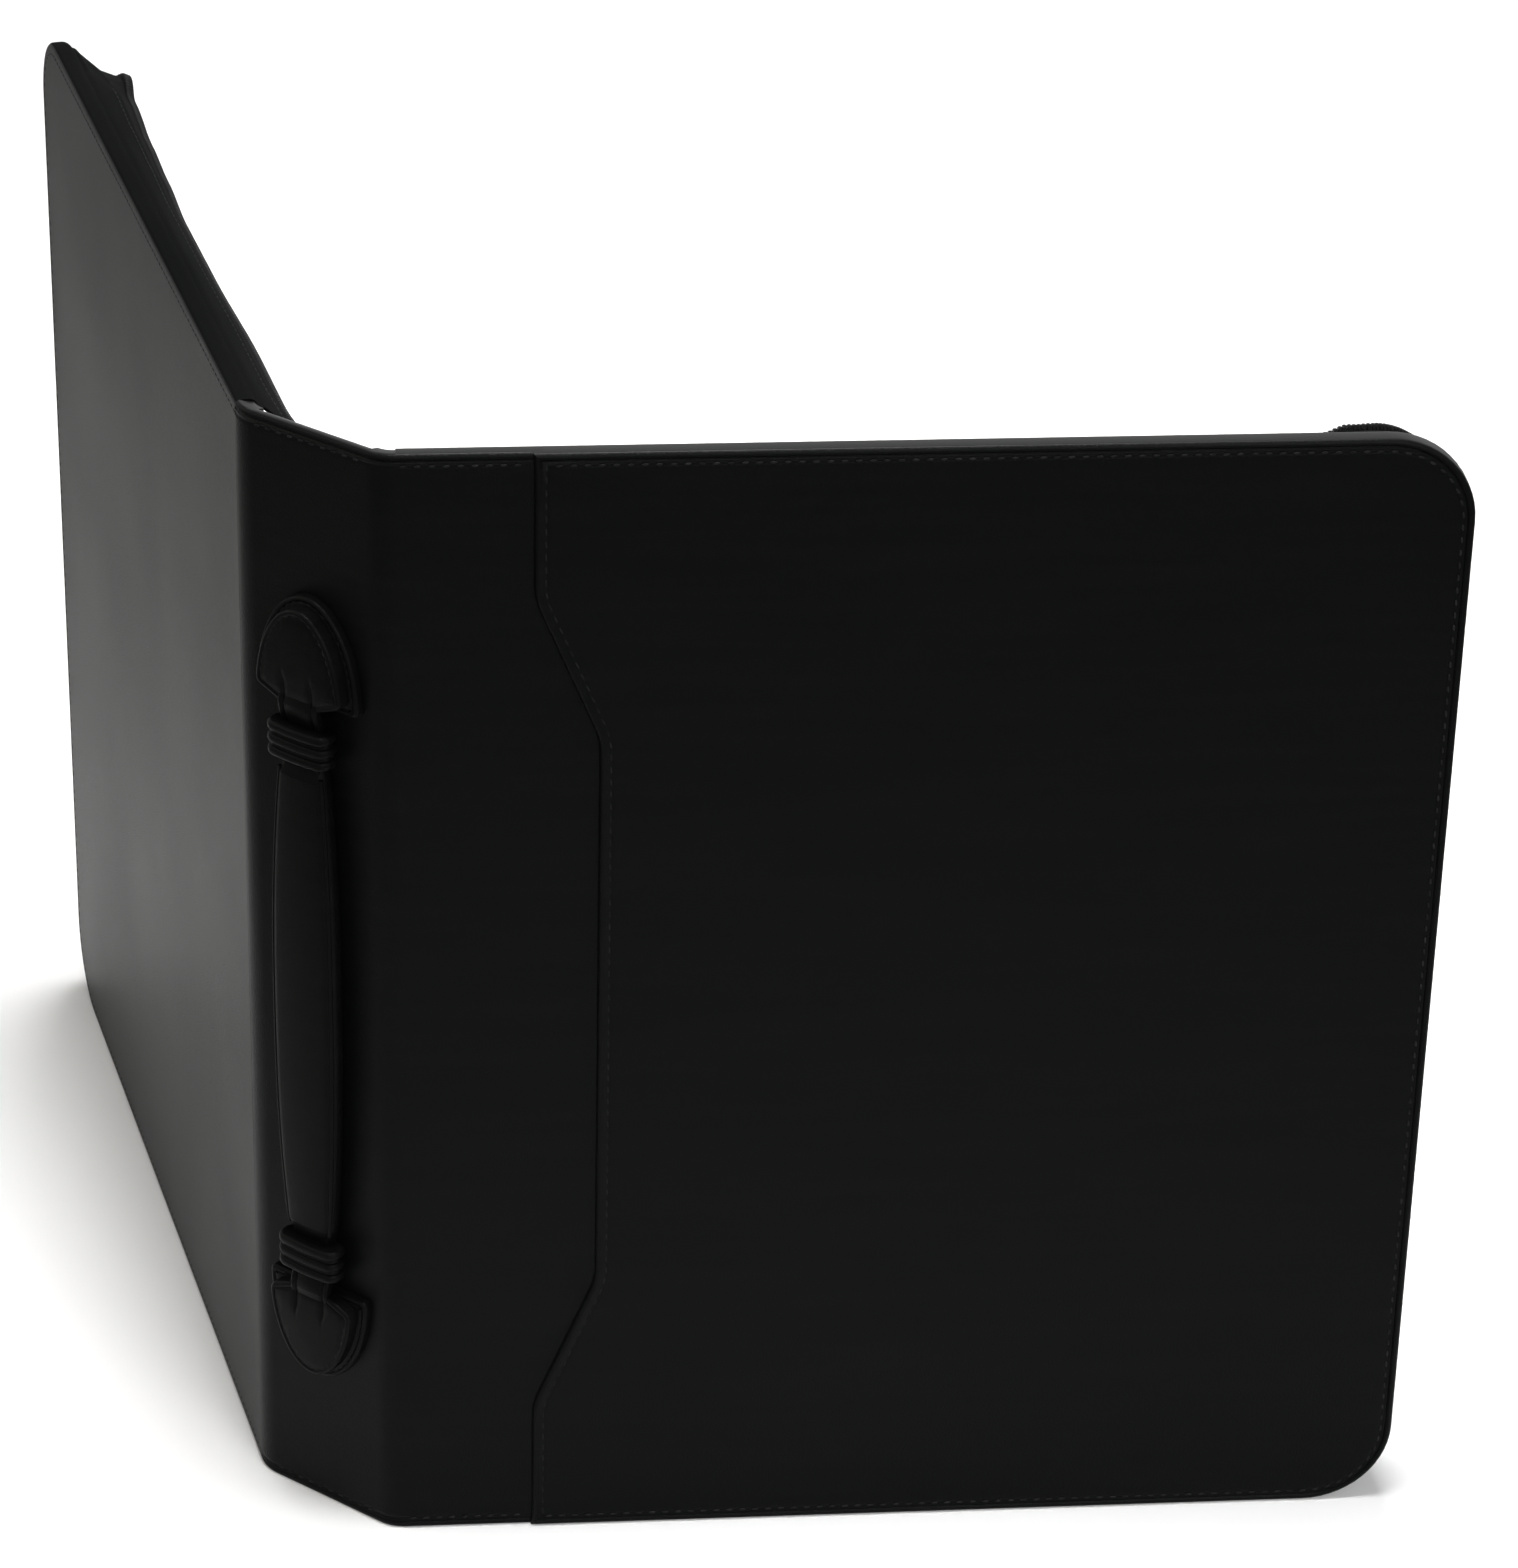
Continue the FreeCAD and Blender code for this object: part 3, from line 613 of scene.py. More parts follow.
@dataclass(frozen=True)
class PlatedMetal(Finish):
    """Plated zinc or brass with fine wear."""

    colour: Colour = (0.06, 0.06, 0.065)
    worn: Colour = (0.16, 0.155, 0.15)
    rough_low: float = 0.20
    rough_high: float = 0.38

    def paint(self, draft: Drafter) -> None:
        """Draws scratches into the colour and specks into the gloss.

        Args:
            draft: the material's drafter.
        """
        marks = FineScratches().place(draft, draft.get("Object"), Hairs=1300.0, Specks=520.0)
        colour = draft.mix(marks.outputs["Marks"], self.colour, self.worn)
        rough = draft.spread(marks.outputs["Dulling"], self.rough_low, self.rough_high)
        draft.put("Metallic", 1.0)
        self.coat(draft, colour, rough, marks.outputs["Marks"], 0.015 * MM)


@dataclass(frozen=True)
class Velvet(Finish):
    """Short-pile velvet, brushed in patches."""

    colour: Colour = (0.060, 0.058, 0.062)
    shade: Colour = (0.030, 0.029, 0.032)

    def paint(self, draft: Drafter) -> None:
        """Draws the pile and its brushed patches.

        Args:
            draft: the material's drafter.
        """
        nap = PileNap().place(draft, draft.get("Object"), Fibres=2800.0, Brushed=70.0)
        colour = draft.mix(nap.outputs["Lean"], self.shade, self.colour)
        rough = draft.spread(nap.outputs["Lean"], 0.95, 0.85)
        draft.put("Specular IOR Level", 0.1)
        draft.put("Sheen Weight", 0.55)
        draft.put("Sheen Roughness", 0.35)
        draft.put("Sheen Tint", (0.55, 0.55, 0.60))
        self.coat(draft, colour, rough, nap.outputs["Height"], 0.25 * MM)


@dataclass(frozen=True)
class Satin(Finish):
    """Gathered lining satin, smooth one way and matt the other."""

    colour: Colour = (0.080, 0.078, 0.084)
    shade: Colour = (0.045, 0.044, 0.048)

    def paint(self, draft: Drafter) -> None:
        """Draws fine floats on the sheet's own flat map.

        Args:
            draft: the material's drafter.
        """
        where = draft.get("UV")
        weave = ClothWeave().place(draft, where, Warp=14000.0, Weft=5200.0)
        nap = PileNap().place(draft, draft.get("Object"), Fibres=1400.0, Brushed=40.0)
        colour = draft.mix(nap.outputs["Lean"], self.shade, self.colour)
        rough = draft.spread(weave.outputs["Over"], 0.36, 0.52)
        draft.put("Anisotropic", 0.5)
        self.coat(draft, colour, rough, weave.outputs["Height"], 0.03 * MM)


@dataclass(frozen=True)
class PulpBoard(Finish):
    """Grey bookbinder's board or foam sheet, hidden inside the covers and the spine."""

    colour: Colour = (0.16, 0.15, 0.135)
    shade: Colour = (0.09, 0.085, 0.08)
    fibres: float = 900.0

    def paint(self, draft: Drafter) -> None:
        """Draws pressed fibres.

        Args:
            draft: the material's drafter.
        """
        nap = PileNap().place(draft, draft.get("Object"), Fibres=self.fibres, Brushed=200.0)
        colour = draft.mix(nap.outputs["Lean"], self.shade, self.colour)
        rough = draft.spread(nap.outputs["Height"], 0.8, 0.95)
        self.coat(draft, colour, rough, nap.outputs["Height"], 0.1 * MM)


COVER_LEATHER = Leather("cover_leather", Slot.LEATHER)
HANDLE_LEATHER = Leather("handle_leather", Slot.LEATHER, dark=(0.0022, 0.0022, 0.0022), rough_low=0.34,
                         rough_high=0.42, specular=0.034, pebbles=1400.0, grain=0.05 * MM)
GUSSET_LEATHER = Leather("gusset_leather", Slot.LEATHER, rough_low=0.66, rough_high=0.80, specular=0.012,
                         pebbles=1300.0)
EDGE_LEATHER = Leather("edge_leather", Slot.LEATHER, rough_low=0.30, rough_high=0.38, specular=0.16,
                       grain=0.02 * MM)
SEWING_THREAD = Thread("sewing_thread", Slot.LEATHER)
ZIP_TAPE = WovenTape("zip_tape_twill", Slot.ZIP_TAPE)
ZIP_NYLON = Nylon("zip_nylon", Slot.ZIP_CHAIN)
BLACK_NICKEL = PlatedMetal("black_nickel", Slot.ZIP_METAL)
BRIGHT_NICKEL = PlatedMetal("bright_nickel", Slot.PEG_METAL, colour=(0.55, 0.54, 0.52),
                            worn=(0.70, 0.69, 0.66), rough_low=0.16, rough_high=0.30)
LINING_VELVET = Velvet("lining_velvet", Slot.VELVET)
PAD_VELVET = Velvet("pad_velvet", Slot.VELVET, colour=(0.072, 0.070, 0.075), shade=(0.040, 0.039, 0.043))
POCKET_SATIN = Satin("pocket_satin", Slot.SATIN)
BINDER_BOARD = PulpBoard("binder_board", Slot.BOARD)
PAD_FOAM = PulpBoard("pad_foam", Slot.FOAM, colour=(0.05, 0.05, 0.052), shade=(0.03, 0.03, 0.03),
                     fibres=1600.0)


def smooth_share(value: float) -> float:
    """Eases a value from 0 to 1, held at both ends."""
    held = min(1.0, max(0.0, value))
    return held * held * (3.0 - 2.0 * held)


def dip(distance: float, middle: float, half_width: float) -> float:
    """A round dip of depth 1 about a middle distance."""
    away = abs(distance - middle) / half_width
    return 0.5 + 0.5 * math.cos(math.pi * away) if away < 1.0 else 0.0


@dataclass(frozen=True)
class EdgeRun:
    """Straight segments in the flat of a face, for measuring how far points are from them."""

    starts: numpy.ndarray
    runs: numpy.ndarray

    @staticmethod
    def of(pairs: Sequence[Segment]) -> "EdgeRun":
        """Makes a run from pairs of end points."""
        starts, ends = [numpy.array([tuple(pair[end].xy) for pair in pairs]) for end in (0, 1)]
        return EdgeRun(starts, ends - starts)

    def distance(self, point: Vector) -> float:
        """Least distance from a point to the segments.

        Args:
            point: the point, whose height doesn't count.

        Returns:
            The distance.
        """
        away = numpy.array((point.x, point.y)) - self.starts
        share = (away * self.runs).sum(axis=1) / (self.runs ** 2).sum(axis=1)
        gap = away - self.runs * numpy.clip(share, 0.0, 1.0)[:, None]
        return float(numpy.sqrt((gap ** 2).sum(axis=1).min()))


def edge_pairs(bm: Mesh) -> list[Segment]:
    """The end points of every edge of a flat outline."""
    return [tuple(vert.co.copy() for vert in edge.verts) for edge in bm.edges]


def table_value(table: Sequence[tuple[float, float]], place: float) -> float:
    """Reads a table of places and values, eased between its rows.

    Args:
        table: rows in order of place.
        place: where to read it.

    Returns:
        The value there, held beyond both ends.
    """
    for (low, before), (high, after) in zip(table, table[1:]):
        if place < high:
            return before + (after - before) * smooth_share((place - low) / (high - low))
    return table[-1][1]


def rectangle(left: float, low: float, right: float, high: float) -> list[Corner]:
    """The corners of a rectangle, from its lower left round by the right."""
    return [(left, low), (right, low), (right, high), (left, high)]


def round_corner(bm: Mesh, corner: Corner, radius: float, segments: int) -> None:
    """Rounds one corner of the mesh's flat face.

    Args:
        bm: the mesh, a single flat face.
        corner: where the corner is.
        radius: the round's radius.
        segments: how many straight steps the round has.
    """
    place = Vector((*corner, 0.0))
    vert = min(bm.verts, key=lambda v: (v.co - place).length)
    back, ahead = [(edge.other_vert(vert).co - vert.co).normalized() for edge in vert.link_edges]
    reach = radius / math.tan(back.angle(ahead) / 2.0)
    bmesh.ops.bevel(bm, geom=[vert], offset=reach, offset_type="OFFSET", segments=segments, profile=0.5,
                    affect="VERTICES", material=-1, clamp_overlap=False)


def flat_face(corners: Sequence[Corner], rounded: Sequence[Corner] = (), radius: float = 0.0,
              segments: int = 1) -> Mesh:
    """Starts a mesh as one flat face.

    Args:
        corners: the face's corners, in order round it.
        rounded: those that are rounded.
        radius: the rounds' radius.
        segments: how many straight steps a round has.

    Returns:
        The new mesh.
    """
    bm = bmesh.new()
    bm.faces.new([bm.verts.new((x, y, 0.0)) for x, y in corners])
    for corner in rounded:
        round_corner(bm, corner, radius, segments)
    return bm


def disc_face(bm: Mesh, segments: int, radius: float = 1.0) -> Face:
    """Makes one round flat face."""
    verts = bmesh.ops.create_circle(bm, cap_ends=True, segments=segments, radius=radius)["verts"]
    return verts[0].link_faces[0]


def only_face(bm: Mesh) -> Face:
    """The mesh's single face."""
    bm.faces.ensure_lookup_table()
    return bm.faces[0]


def lift(bm: Mesh, rise: float) -> None:
    """Moves the whole mesh along +Z of its own frame."""
    bmesh.ops.translate(bm, verts=bm.verts[:], vec=(0.0, 0.0, rise))


def lengthwise(along: float, inwards: float, up: float) -> Matrix:
    """The frame of a section that looks along a cover."""
    return Matrix(((0, 0, 1, along), (0, 1, 0, inwards), (1, 0, 0, up), (0, 0, 0, 1)))


def bow_front(section: Face, middle: float, depth: float, half: float) -> None:
    """Bows the front of a section out, most at its middle line.

    Args:
        section: the section, whose front looks along -Y.
        middle: the level that parts its front from its back.
        depth: how far it bows out.
        half: half of its width.
    """
    for vert in section.verts:
        if vert.co.y < middle:
            vert.co.y -= depth * (1.0 - (vert.co.x / half) ** 2)


def round_end(away: float, radius: float, least: float = 0.0) -> float:
    """The share of its full size that a rounded end has at a distance from its tip."""
    return math.sqrt(max(least, 1.0 - (1.0 - min(1.0, away / radius)) ** 2))


def roll(radius: float, steps: int) -> Rings:
    """Rings of a quarter round, from an upright edge over to a level face.

    Args:
        radius: the round's radius.
        steps: how many rings it takes.

    Returns:
        Insets and rises, each from the ring before.
    """
    angles = [math.pi / 2.0 * step / steps for step in range(steps + 1)]
    places = [(radius * (1.0 - math.cos(a)), radius * math.sin(a)) for a in angles]
    return [(b[0] - a[0], b[1] - a[1]) for a, b in zip(places, places[1:])]


def level_rings(places: Sequence[float], start: float) -> Rings:
    """Rings on a level face at given distances from its edge, after a start distance."""
    return [(b - a, 0.0) for a, b in zip([start, *places], places)]


def carry(bm: Mesh, face: Face, rings: Rings) -> None:
    """Carries a face through rings, leaving walls between them.

    Args:
        bm: the mesh.
        face: the face that moves.
        rings: insets and rises, each from the ring before.
    """
    for inset, rise in rings:
        bmesh.ops.inset_region(bm, faces=[face], thickness=max(inset, HAIR), use_even_offset=True,
                               use_boundary=True)
        bmesh.ops.translate(bm, verts=face.verts[:], vec=(0.0, 0.0, rise))


def pillow(bm: Mesh, upper: Rings, lower: Rings) -> None:
    """Makes a closed form from the mesh's one flat face, built up on both of its sides.

    Args:
        bm: the mesh, a single flat face.
        upper: rings on the side towards +Z.
        lower: rings on the other side, with rises counted downwards.
    """
    face = only_face(bm)
    copies = bmesh.ops.duplicate(bm, geom=[face])["geom"]
    twin = next(item for item in copies if isinstance(item, Face))
    carry(bm, face, upper)
    carry(bm, twin, [(inset, -rise) for inset, rise in lower])
    bmesh.ops.remove_doubles(bm, verts=bm.verts[:], dist=MERGE)


def inset_points(bm: Mesh, inset: float) -> list[Vector]:
    """The points of a flat outline, carried inwards.

    Args:
        bm: the outline, a single flat face, which is used up.
        inset: how far the points move.

    Returns:
        The moved points.
    """
    face = only_face(bm)
    bmesh.ops.inset_region(bm, faces=[face], thickness=inset, use_even_offset=True, use_boundary=True)
    points = [vert.co.copy() for vert in face.verts]
    bm.free()
    return points


def cut_plane(bm: Mesh, point: Vector, normal: Vector, clear: bool = False) -> list[bmesh.types.BMEdge]:
    """Cuts the mesh along a plane.

    Args:
        bm: the mesh.
        point: a point of the plane.
        normal: the plane's direction.
        clear: whether what lies beyond the plane goes.

    Returns:
        The edges along the cut.
    """
    geom = bm.verts[:] + bm.edges[:] + bm.faces[:]
    made = bmesh.ops.bisect_plane(bm, geom=geom, plane_co=point, plane_no=normal, dist=MERGE,
                                  clear_outer=clear)
    return [item for item in made["geom_cut"] if isinstance(item, bmesh.types.BMEdge)]


def cut_across(bm: Mesh, axis: int, places: Sequence[float]) -> None:
    """Cuts the mesh's faces along level planes, so that a wide face can be shaped.

    Args:
        bm: the mesh.
        axis: the axis that the planes stand square to.
        places: where they cross it.
    """
    for place in places:
        normal = Vector()
        normal[axis] = 1.0
        cut_plane(bm, normal * place, normal)


def cut_outline(bm: Mesh, axis: int, places: Sequence[float]) -> Face:
    """Adds points to a flat face's outline where level planes cross it.

    Args:
        bm: the mesh, a single flat face.
        axis: the axis that the planes stand square to.
        places: where they cross it.

    Returns:
        The face.
    """
    cut_across(bm, axis, places)
    bmesh.ops.dissolve_faces(bm, faces=bm.faces[:])
    return only_face(bm)


def cut_away(bm: Mesh, point: Vector, normal: Vector) -> None:
    """Cuts away what lies beyond a plane and closes the cut."""
    bmesh.ops.holes_fill(bm, edges=cut_plane(bm, point, normal, clear=True), sides=0)


def sweep(bm: Mesh, face: Face, stations: Sequence[Matrix]) -> list[list[bmesh.types.BMVert]]:
    """Draws a face out into a solid that passes through stations.

    Args:
        bm: the mesh.
        face: the section, in its own flat frame.
        stations: where the section stands, first to last.

    Returns:
        The vertices at each station.
    """
    bmesh.ops.transform(bm, matrix=stations[0], verts=face.verts[:])
    rings = [face.verts[:]]
    for before, after in zip(stations, stations[1:]):
        made = bmesh.ops.extrude_face_region(bm, geom=[face])["geom"]
        verts = [item for item in made if isinstance(item, bmesh.types.BMVert)]
        bmesh.ops.transform(bm, matrix=after @ before.inverted(), verts=verts)
        rings.append(verts)
        face = next(item for item in made if isinstance(item, Face))
    return rings


def join(whole: Mesh, part: Mesh) -> None:
    """Adds one mesh to another.

    Args:
        whole: the mesh that grows.
        part: the mesh that is added and used up.
    """
    mesh = bpy.data.meshes.new("part")
    part.to_mesh(mesh)
    part.free()
    whole.from_mesh(mesh)
    bpy.data.meshes.remove(mesh)


def strew(whole: Mesh, shape: Callable[..., object], frames: Sequence[Matrix], **sizes: float) -> None:
    """Makes a small shape at every frame, a batch at a time, because an operator slows as its mesh grows.

    Args:
        whole: the mesh that takes the shapes.
        shape: the operator that makes one.
        frames: where they stand.
        sizes: the operator's own values.
    """
    batch = 40
    for start in range(0, len(frames), batch):
        part = bmesh.new()
        for frame in frames[start:start + batch]:
            shape(part, matrix=frame, **sizes)
        join(whole, part)


def spaced(count: int, low: float, high: float) -> list[float]:
    """Evenly spaced values from low to high, both included."""
    return [low + (high - low) * index / (count - 1) for index in range(count)]


def walk(path: Sequence[Vector], pitch: float) -> Iterator[tuple[Vector, Vector]]:
    """Steps evenly along a run of points.

    Args:
        path: the points.
        pitch: the step.

    Yields:
        Each step's place and direction.
    """
    wanted = pitch / 2.0
    for start, end in zip(path, path[1:]):
        run = end - start
        length = run.length
        while wanted <= length and length > 0.0:
            yield start + run * (wanted / length), run.normalized()
            wanted += pitch
        wanted -= length


def add_piece(name: str, bm: Mesh, finish: Finish, place: Matrix, body: Body | None,
              *instead_of: str, crease_deg: float = 38.0) -> bpy.types.Object:
    """Turns a mesh into a finished piece with its place in its mesh.

    Args:
        name: the piece's name.
        bm: the mesh, which is used up.
        finish: what it is made of.
        place: where its own frame stands in the case.
        body: the body that it rides, or None for a piece that lies between two, which then rides none.
        instead_of: the CAD nodes that it stands in for.
        crease_deg: edges sharper than this stay crisp.

    Returns:
        The piece's object.
    """
    bmesh.ops.transform(bm, matrix=place, verts=bm.verts[:])
    bmesh.ops.recalc_face_normals(bm, faces=bm.faces[:])
    mesh = bpy.data.meshes.new(name)
    bm.to_mesh(mesh)
    bm.free()
    mesh.shade_smooth()
    mesh.set_sharp_from_angle(angle=math.radians(crease_deg))
    mesh.materials.append(finish.material())
    made = add_object(name, mesh)
    if body:
        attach(made, body.value)
    if instead_of:
        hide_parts(*instead_of)
    LOG.info("made %s, %d faces", name, len(mesh.polygons))
    return made


@dataclass(frozen=True)
class StitchRow:
    """A row of lockstitches: how far apart, how long, thick, flat, proud and slanted they are."""

    pitch: float = 3.6 * MM
    length: float = 2.0 * MM
    radius: float = 0.42 * MM
    flat: float = 0.8
    proud: float = 0.25
    slant: float = math.radians(5.0)

    def put(self, bm: Mesh, frames: Sequence[Matrix]) -> None:
        """Makes a stitch at every frame."""
        strew(bm, bmesh.ops.create_uvsphere, frames, u_segments=6, v_segments=4, radius=1.0)

    def sew(self, bm: Mesh, path: Sequence[Vector], rise: Callable[[Vector], float]) -> None:
        """Sews a row along a path on a face.

        Args:
            bm: the mesh that takes the stitches.
            path: the row's points, flat in the face's frame.
            rise: how high the face stands at a point.
        """
        frames = []
        shape = Matrix.Diagonal((self.length / 2.0, self.radius, self.radius * self.flat, 1.0))
        for place, direction in walk(path, self.pitch):
            heading = math.atan2(direction.y, direction.x) + self.slant
            spot = Vector((place.x, place.y, rise(place) + self.proud * self.radius))
            frames.append(Matrix.Translation(spot) @ Matrix.Rotation(heading, 4, "Z") @ shape)
        self.put(bm, frames)


EDGE_STITCH = StitchRow()
SEAM_STITCH = StitchRow(pitch=3.6 * MM, length=2.4 * MM, radius=0.26 * MM, proud=-0.15)
MOON_STITCH = StitchRow(pitch=2.6 * MM, length=1.8 * MM, radius=0.24 * MM)
FINE_STITCH = StitchRow(pitch=3.2 * MM, length=2.1 * MM, radius=0.22 * MM, proud=0.0)


@dataclass(frozen=True)
class CoverPlace:
    """Where a cover stands: its fold's axis, and how far it is folded from flat."""

    body: Body
    axis_x: float
    fold: float
    side: int

    def matrix(self) -> Matrix:
        """The cover's frame: along it from the fold, inwards, and up."""
        turn = Matrix.Rotation(self.side * self.fold, 4, "Z") @ Matrix.Diagonal((self.side, 1.0, 1.0, 1.0))
        return Matrix.Translation((self.axis_x, 0.0, 0.0)) @ turn

    def face(self) -> Matrix:
        """The cover's frame for faces: along it, up, and outwards."""
        return self.matrix() @ FACE_FRAME

    def span(self, node: bpy.types.Object) -> tuple[Vector, Vector]:
        """Measures a CAD node in the cover's frame.

        Args:
            node: the node.

        Returns:
            Its lowest and its highest corner.
        """
        back = self.matrix().inverted()
        points = [back @ vert.co for vert in node.data.vertices]
        low = Vector([min(p[i] for p in points) for i in range(3)])
        high = Vector([max(p[i] for p in points) for i in range(3)])
        return low, high


@dataclass(frozen=True)
class CaseFrame:
    """The sizes that every sub-assembly shares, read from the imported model."""

    nodes: dict[str, bpy.types.Object]
    front: CoverPlace
    rear: CoverPlace
    height: float
    reach: float
    skin: float
    panel: float
    inner: float
    corner: float = 24.0 * MM
    corner_steps: int = 14
    fold_lap: float = 3.6 * MM
    run_out: float = 10.0 * MM

    @staticmethod
    def read(frame: dict) -> "CaseFrame":
        """Reads the case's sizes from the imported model.


        Returns:
            The shared sizes.
        """
        joints = {joint["name"]: joint for joint in frame["joints"]}
        places = []
        for body, side in ((Body.FRONT, 1), (Body.REAR, -1)):
            joint = joints[body.value + "_fold"]
            places.append(CoverPlace(body, joint["pos_m"][0], math.radians(-joint["range_deg"][0]), side))
        nodes = frame["nodes"]
        panel_low, panel_high = places[0].span(nodes["front_panel"])
        wrap_low, _ = places[0].span(nodes["front_wrap"])
        return CaseFrame(nodes=nodes, front=places[0], rear=places[1], height=panel_high.z,
                         reach=panel_high.x, skin=-wrap_low.y, panel=-panel_low.y, inner=panel_high.y)

    def place(self, body: Body) -> CoverPlace:
        """The place of one of the two covers."""
        return self.front if body is Body.FRONT else self.rear


COVER_SWELL = 0.55 * MM


@dataclass
class LeatherFace:
    """A leather face over padding: a closed form with rounded edges, a sewn line and a swell.

    Its frame is flat: along the face, up it, and outwards. level holds the distances from the edge, in
    millimetres, at which its outside is cut into rings.
    """

    outline: Callable[[], Mesh]
    is_rim: Callable[[Vector, Vector], bool]
    outer: float
    inner: float
    round_out: float = 1.3 * MM
    round_in: float = 2.4 * MM
    lip_at: float = 1.9 * MM
    lip_half: float = 0.5 * MM
    lip_depth: float = 0.4 * MM
    groove_at: float = 3.3 * MM
    groove_half: float = 0.85 * MM
    groove_depth: float = 0.22 * MM
    swell: float = 0.0
    swell_reach: float = 70.0 * MM
    uneven: float = 0.25
    uneven_reach: float = 25.0 * MM
    waves_per_metre: float = 14.0
    seam_profile: tuple[tuple[float, float], ...] = ()
    grid: float = 9.0 * MM
    level: tuple[float, ...] = (1.45, 1.67, 1.9, 2.13, 2.35, 2.65, 2.95, 3.3, 3.65, 3.95, 4.3, 5.2, 6.6,
                                8.6)

    def __post_init__(self) -> None:
        """Measures the outline once: its real edges, and its seam or cut."""
        bm = self.outline()
        pairs = edge_pairs(bm)
        bm.free()
        self.rim = EdgeRun.of([pair for pair in pairs if self.is_rim(*pair)])
        self.seam = EdgeRun.of([pair for pair in pairs if not self.is_rim(*pair)])

    def profile(self, edge: float) -> float:
        """Shapes the face near its edge: the round, the lip's crease, then the sewn line.

        Args:
            edge: the distance from the edge.

        Returns:
            The face's height there.
        """
        if edge < self.round_out:
            fall = self.round_out - math.sqrt(self.round_out ** 2 - (self.round_out - edge) ** 2)
            return self.outer - fall
        lip = self.lip_depth * dip(edge, self.lip_at, self.lip_half)
        return self.outer - lip - self.groove_depth * dip(edge, self.groove_at, self.groove_half)

    def rise(self, point: Vector) -> float:
        """Works out how far the finished face stands outwards.

        Args:
            point: a point of it.

        Returns:
            The face's height there.
        """
        edge = self.rim.distance(point)
        away = self.seam.distance(point)
        inside = min(edge, away)
        height = self.profile(edge)
        height += self.swell * smooth_share((inside - self.groove_at) / self.swell_reach)
        rate = self.waves_per_metre
        slow = noise.noise(Vector((point.x * rate, point.y * rate, self.outer * 900.0)))
        share = smooth_share((inside - 2.0 * self.groove_at) / self.uneven_reach)
        height += self.uneven * self.swell * slow * share
        if self.seam_profile:
            height += table_value(self.seam_profile, away) * smooth_share(edge / self.groove_at)
        return height

    def shape(self) -> Mesh:
        """Builds the closed form.

        Returns:
            The mesh.
        """
        bm = self.outline()
        middle = self.outer - self.round_out
        lift(bm, middle)
        rings = [place * MM for place in self.level]
        deep = middle + self.inner
        turn = min(self.round_in, deep)
        upper = roll(self.round_out, 7) + level_rings(rings, self.round_out)
        pillow(bm, upper, [(0.0, deep - turn), *roll(turn, 5)])
        for axis in (0, 1):
            low = min(vert.co[axis] for vert in bm.verts)
            high = max(vert.co[axis] for vert in bm.verts)
            cut_across(bm, axis, spaced(max(3, int((high - low) / self.grid)), low, high)[1:-1])
        for vert in bm.verts:
            if vert.co.z > middle - HAIR:
                vert.co.z = self.rise(vert.co)
        return bm

    def row_along(self, run: EdgeRun, inset: float) -> list[Vector]:
        """The points of a row beside one run of the outline's edges, at an inset from them."""
        reach = 1.02 * inset
        return [p for p in inset_points(self.outline(), inset) if run.distance(p) < reach]


def is_level(start: Vector, end: Vector) -> bool:
    """Whether an outline edge runs along the head or the foot."""
    return abs(start.y - end.y) < HAIR


def round_about(points: Sequence[Vector], centre: Corner) -> list[Vector]:
    """Puts points in order of their bearing about a centre, from below round by the right."""
    return sorted(points, key=lambda p: math.atan2(p.y - centre[1], p.x - centre[0]))


def finish_edges(made: bpy.types.Object, finish: Finish, frame: Matrix, limit: float = 0.35) -> None:
    """Gives the faces that turn away from a piece's outside a finish of their own.

    Args:
        made: the piece.
        finish: what its edges show.
        frame: the face's frame, whose +Z looks outwards.
        limit: how much of its normal a face keeps outwards before it counts as edge.
    """
    out = frame.to_3x3() @ Vector((0.0, 0.0, 1.0))
    made.data.materials.append(finish.material())
    for side in made.data.polygons:
        side.material_index = int(side.normal.dot(out) < limit)


@dataclass
class RearCover:
    """The rear cover's outside: one leather face with a sewn, dulled edge."""

    case: CaseFrame
    turned: float = 0.8

    def outline(self) -> Mesh:
        """Draws the face: square past the fold, round at the fore-edge."""
        corners = rectangle(-self.case.run_out, 0.0, self.case.reach, self.case.height)
        return flat_face(corners, corners[1:3], self.case.corner, self.case.corner_steps)

    def build(self) -> None:
        """Builds the leather and its stitches."""
        case = self.case
        place = case.rear
        face = LeatherFace(self.outline, lambda a, b: max(a.x, b.x) > 0.0, case.skin, case.inner,
                           lip_depth=0.0, groove_depth=0.03 * MM, swell=COVER_SWELL)
        bm = face.shape()
        cut_away(bm, Vector((case.fold_lap, 0.0, 0.0)), Vector((-1.0, 0.0, 0.0)))
        leather = add_piece("rear_cover_leather", bm, COVER_LEATHER, place.face(), place.body,
                            "rear_leather")
        finish_edges(leather, GUSSET_LEATHER, place.face(), self.turned)
        row = [p for p in inset_points(self.outline(), face.groove_at) if p.x > 0.0]
        levels = (face.groove_at, case.height - face.groove_at)
        ends = [Vector((case.fold_lap, level, 0.0)) for level in levels]
        rows = bmesh.new()
        path = [ends[0], *round_about(row, (0.0, case.height / 2.0)), ends[1]]
        FINE_STITCH.sew(rows, path, face.rise)
        add_piece("rear_cover_stitches", rows, SEWING_THREAD, place.face(), place.body)


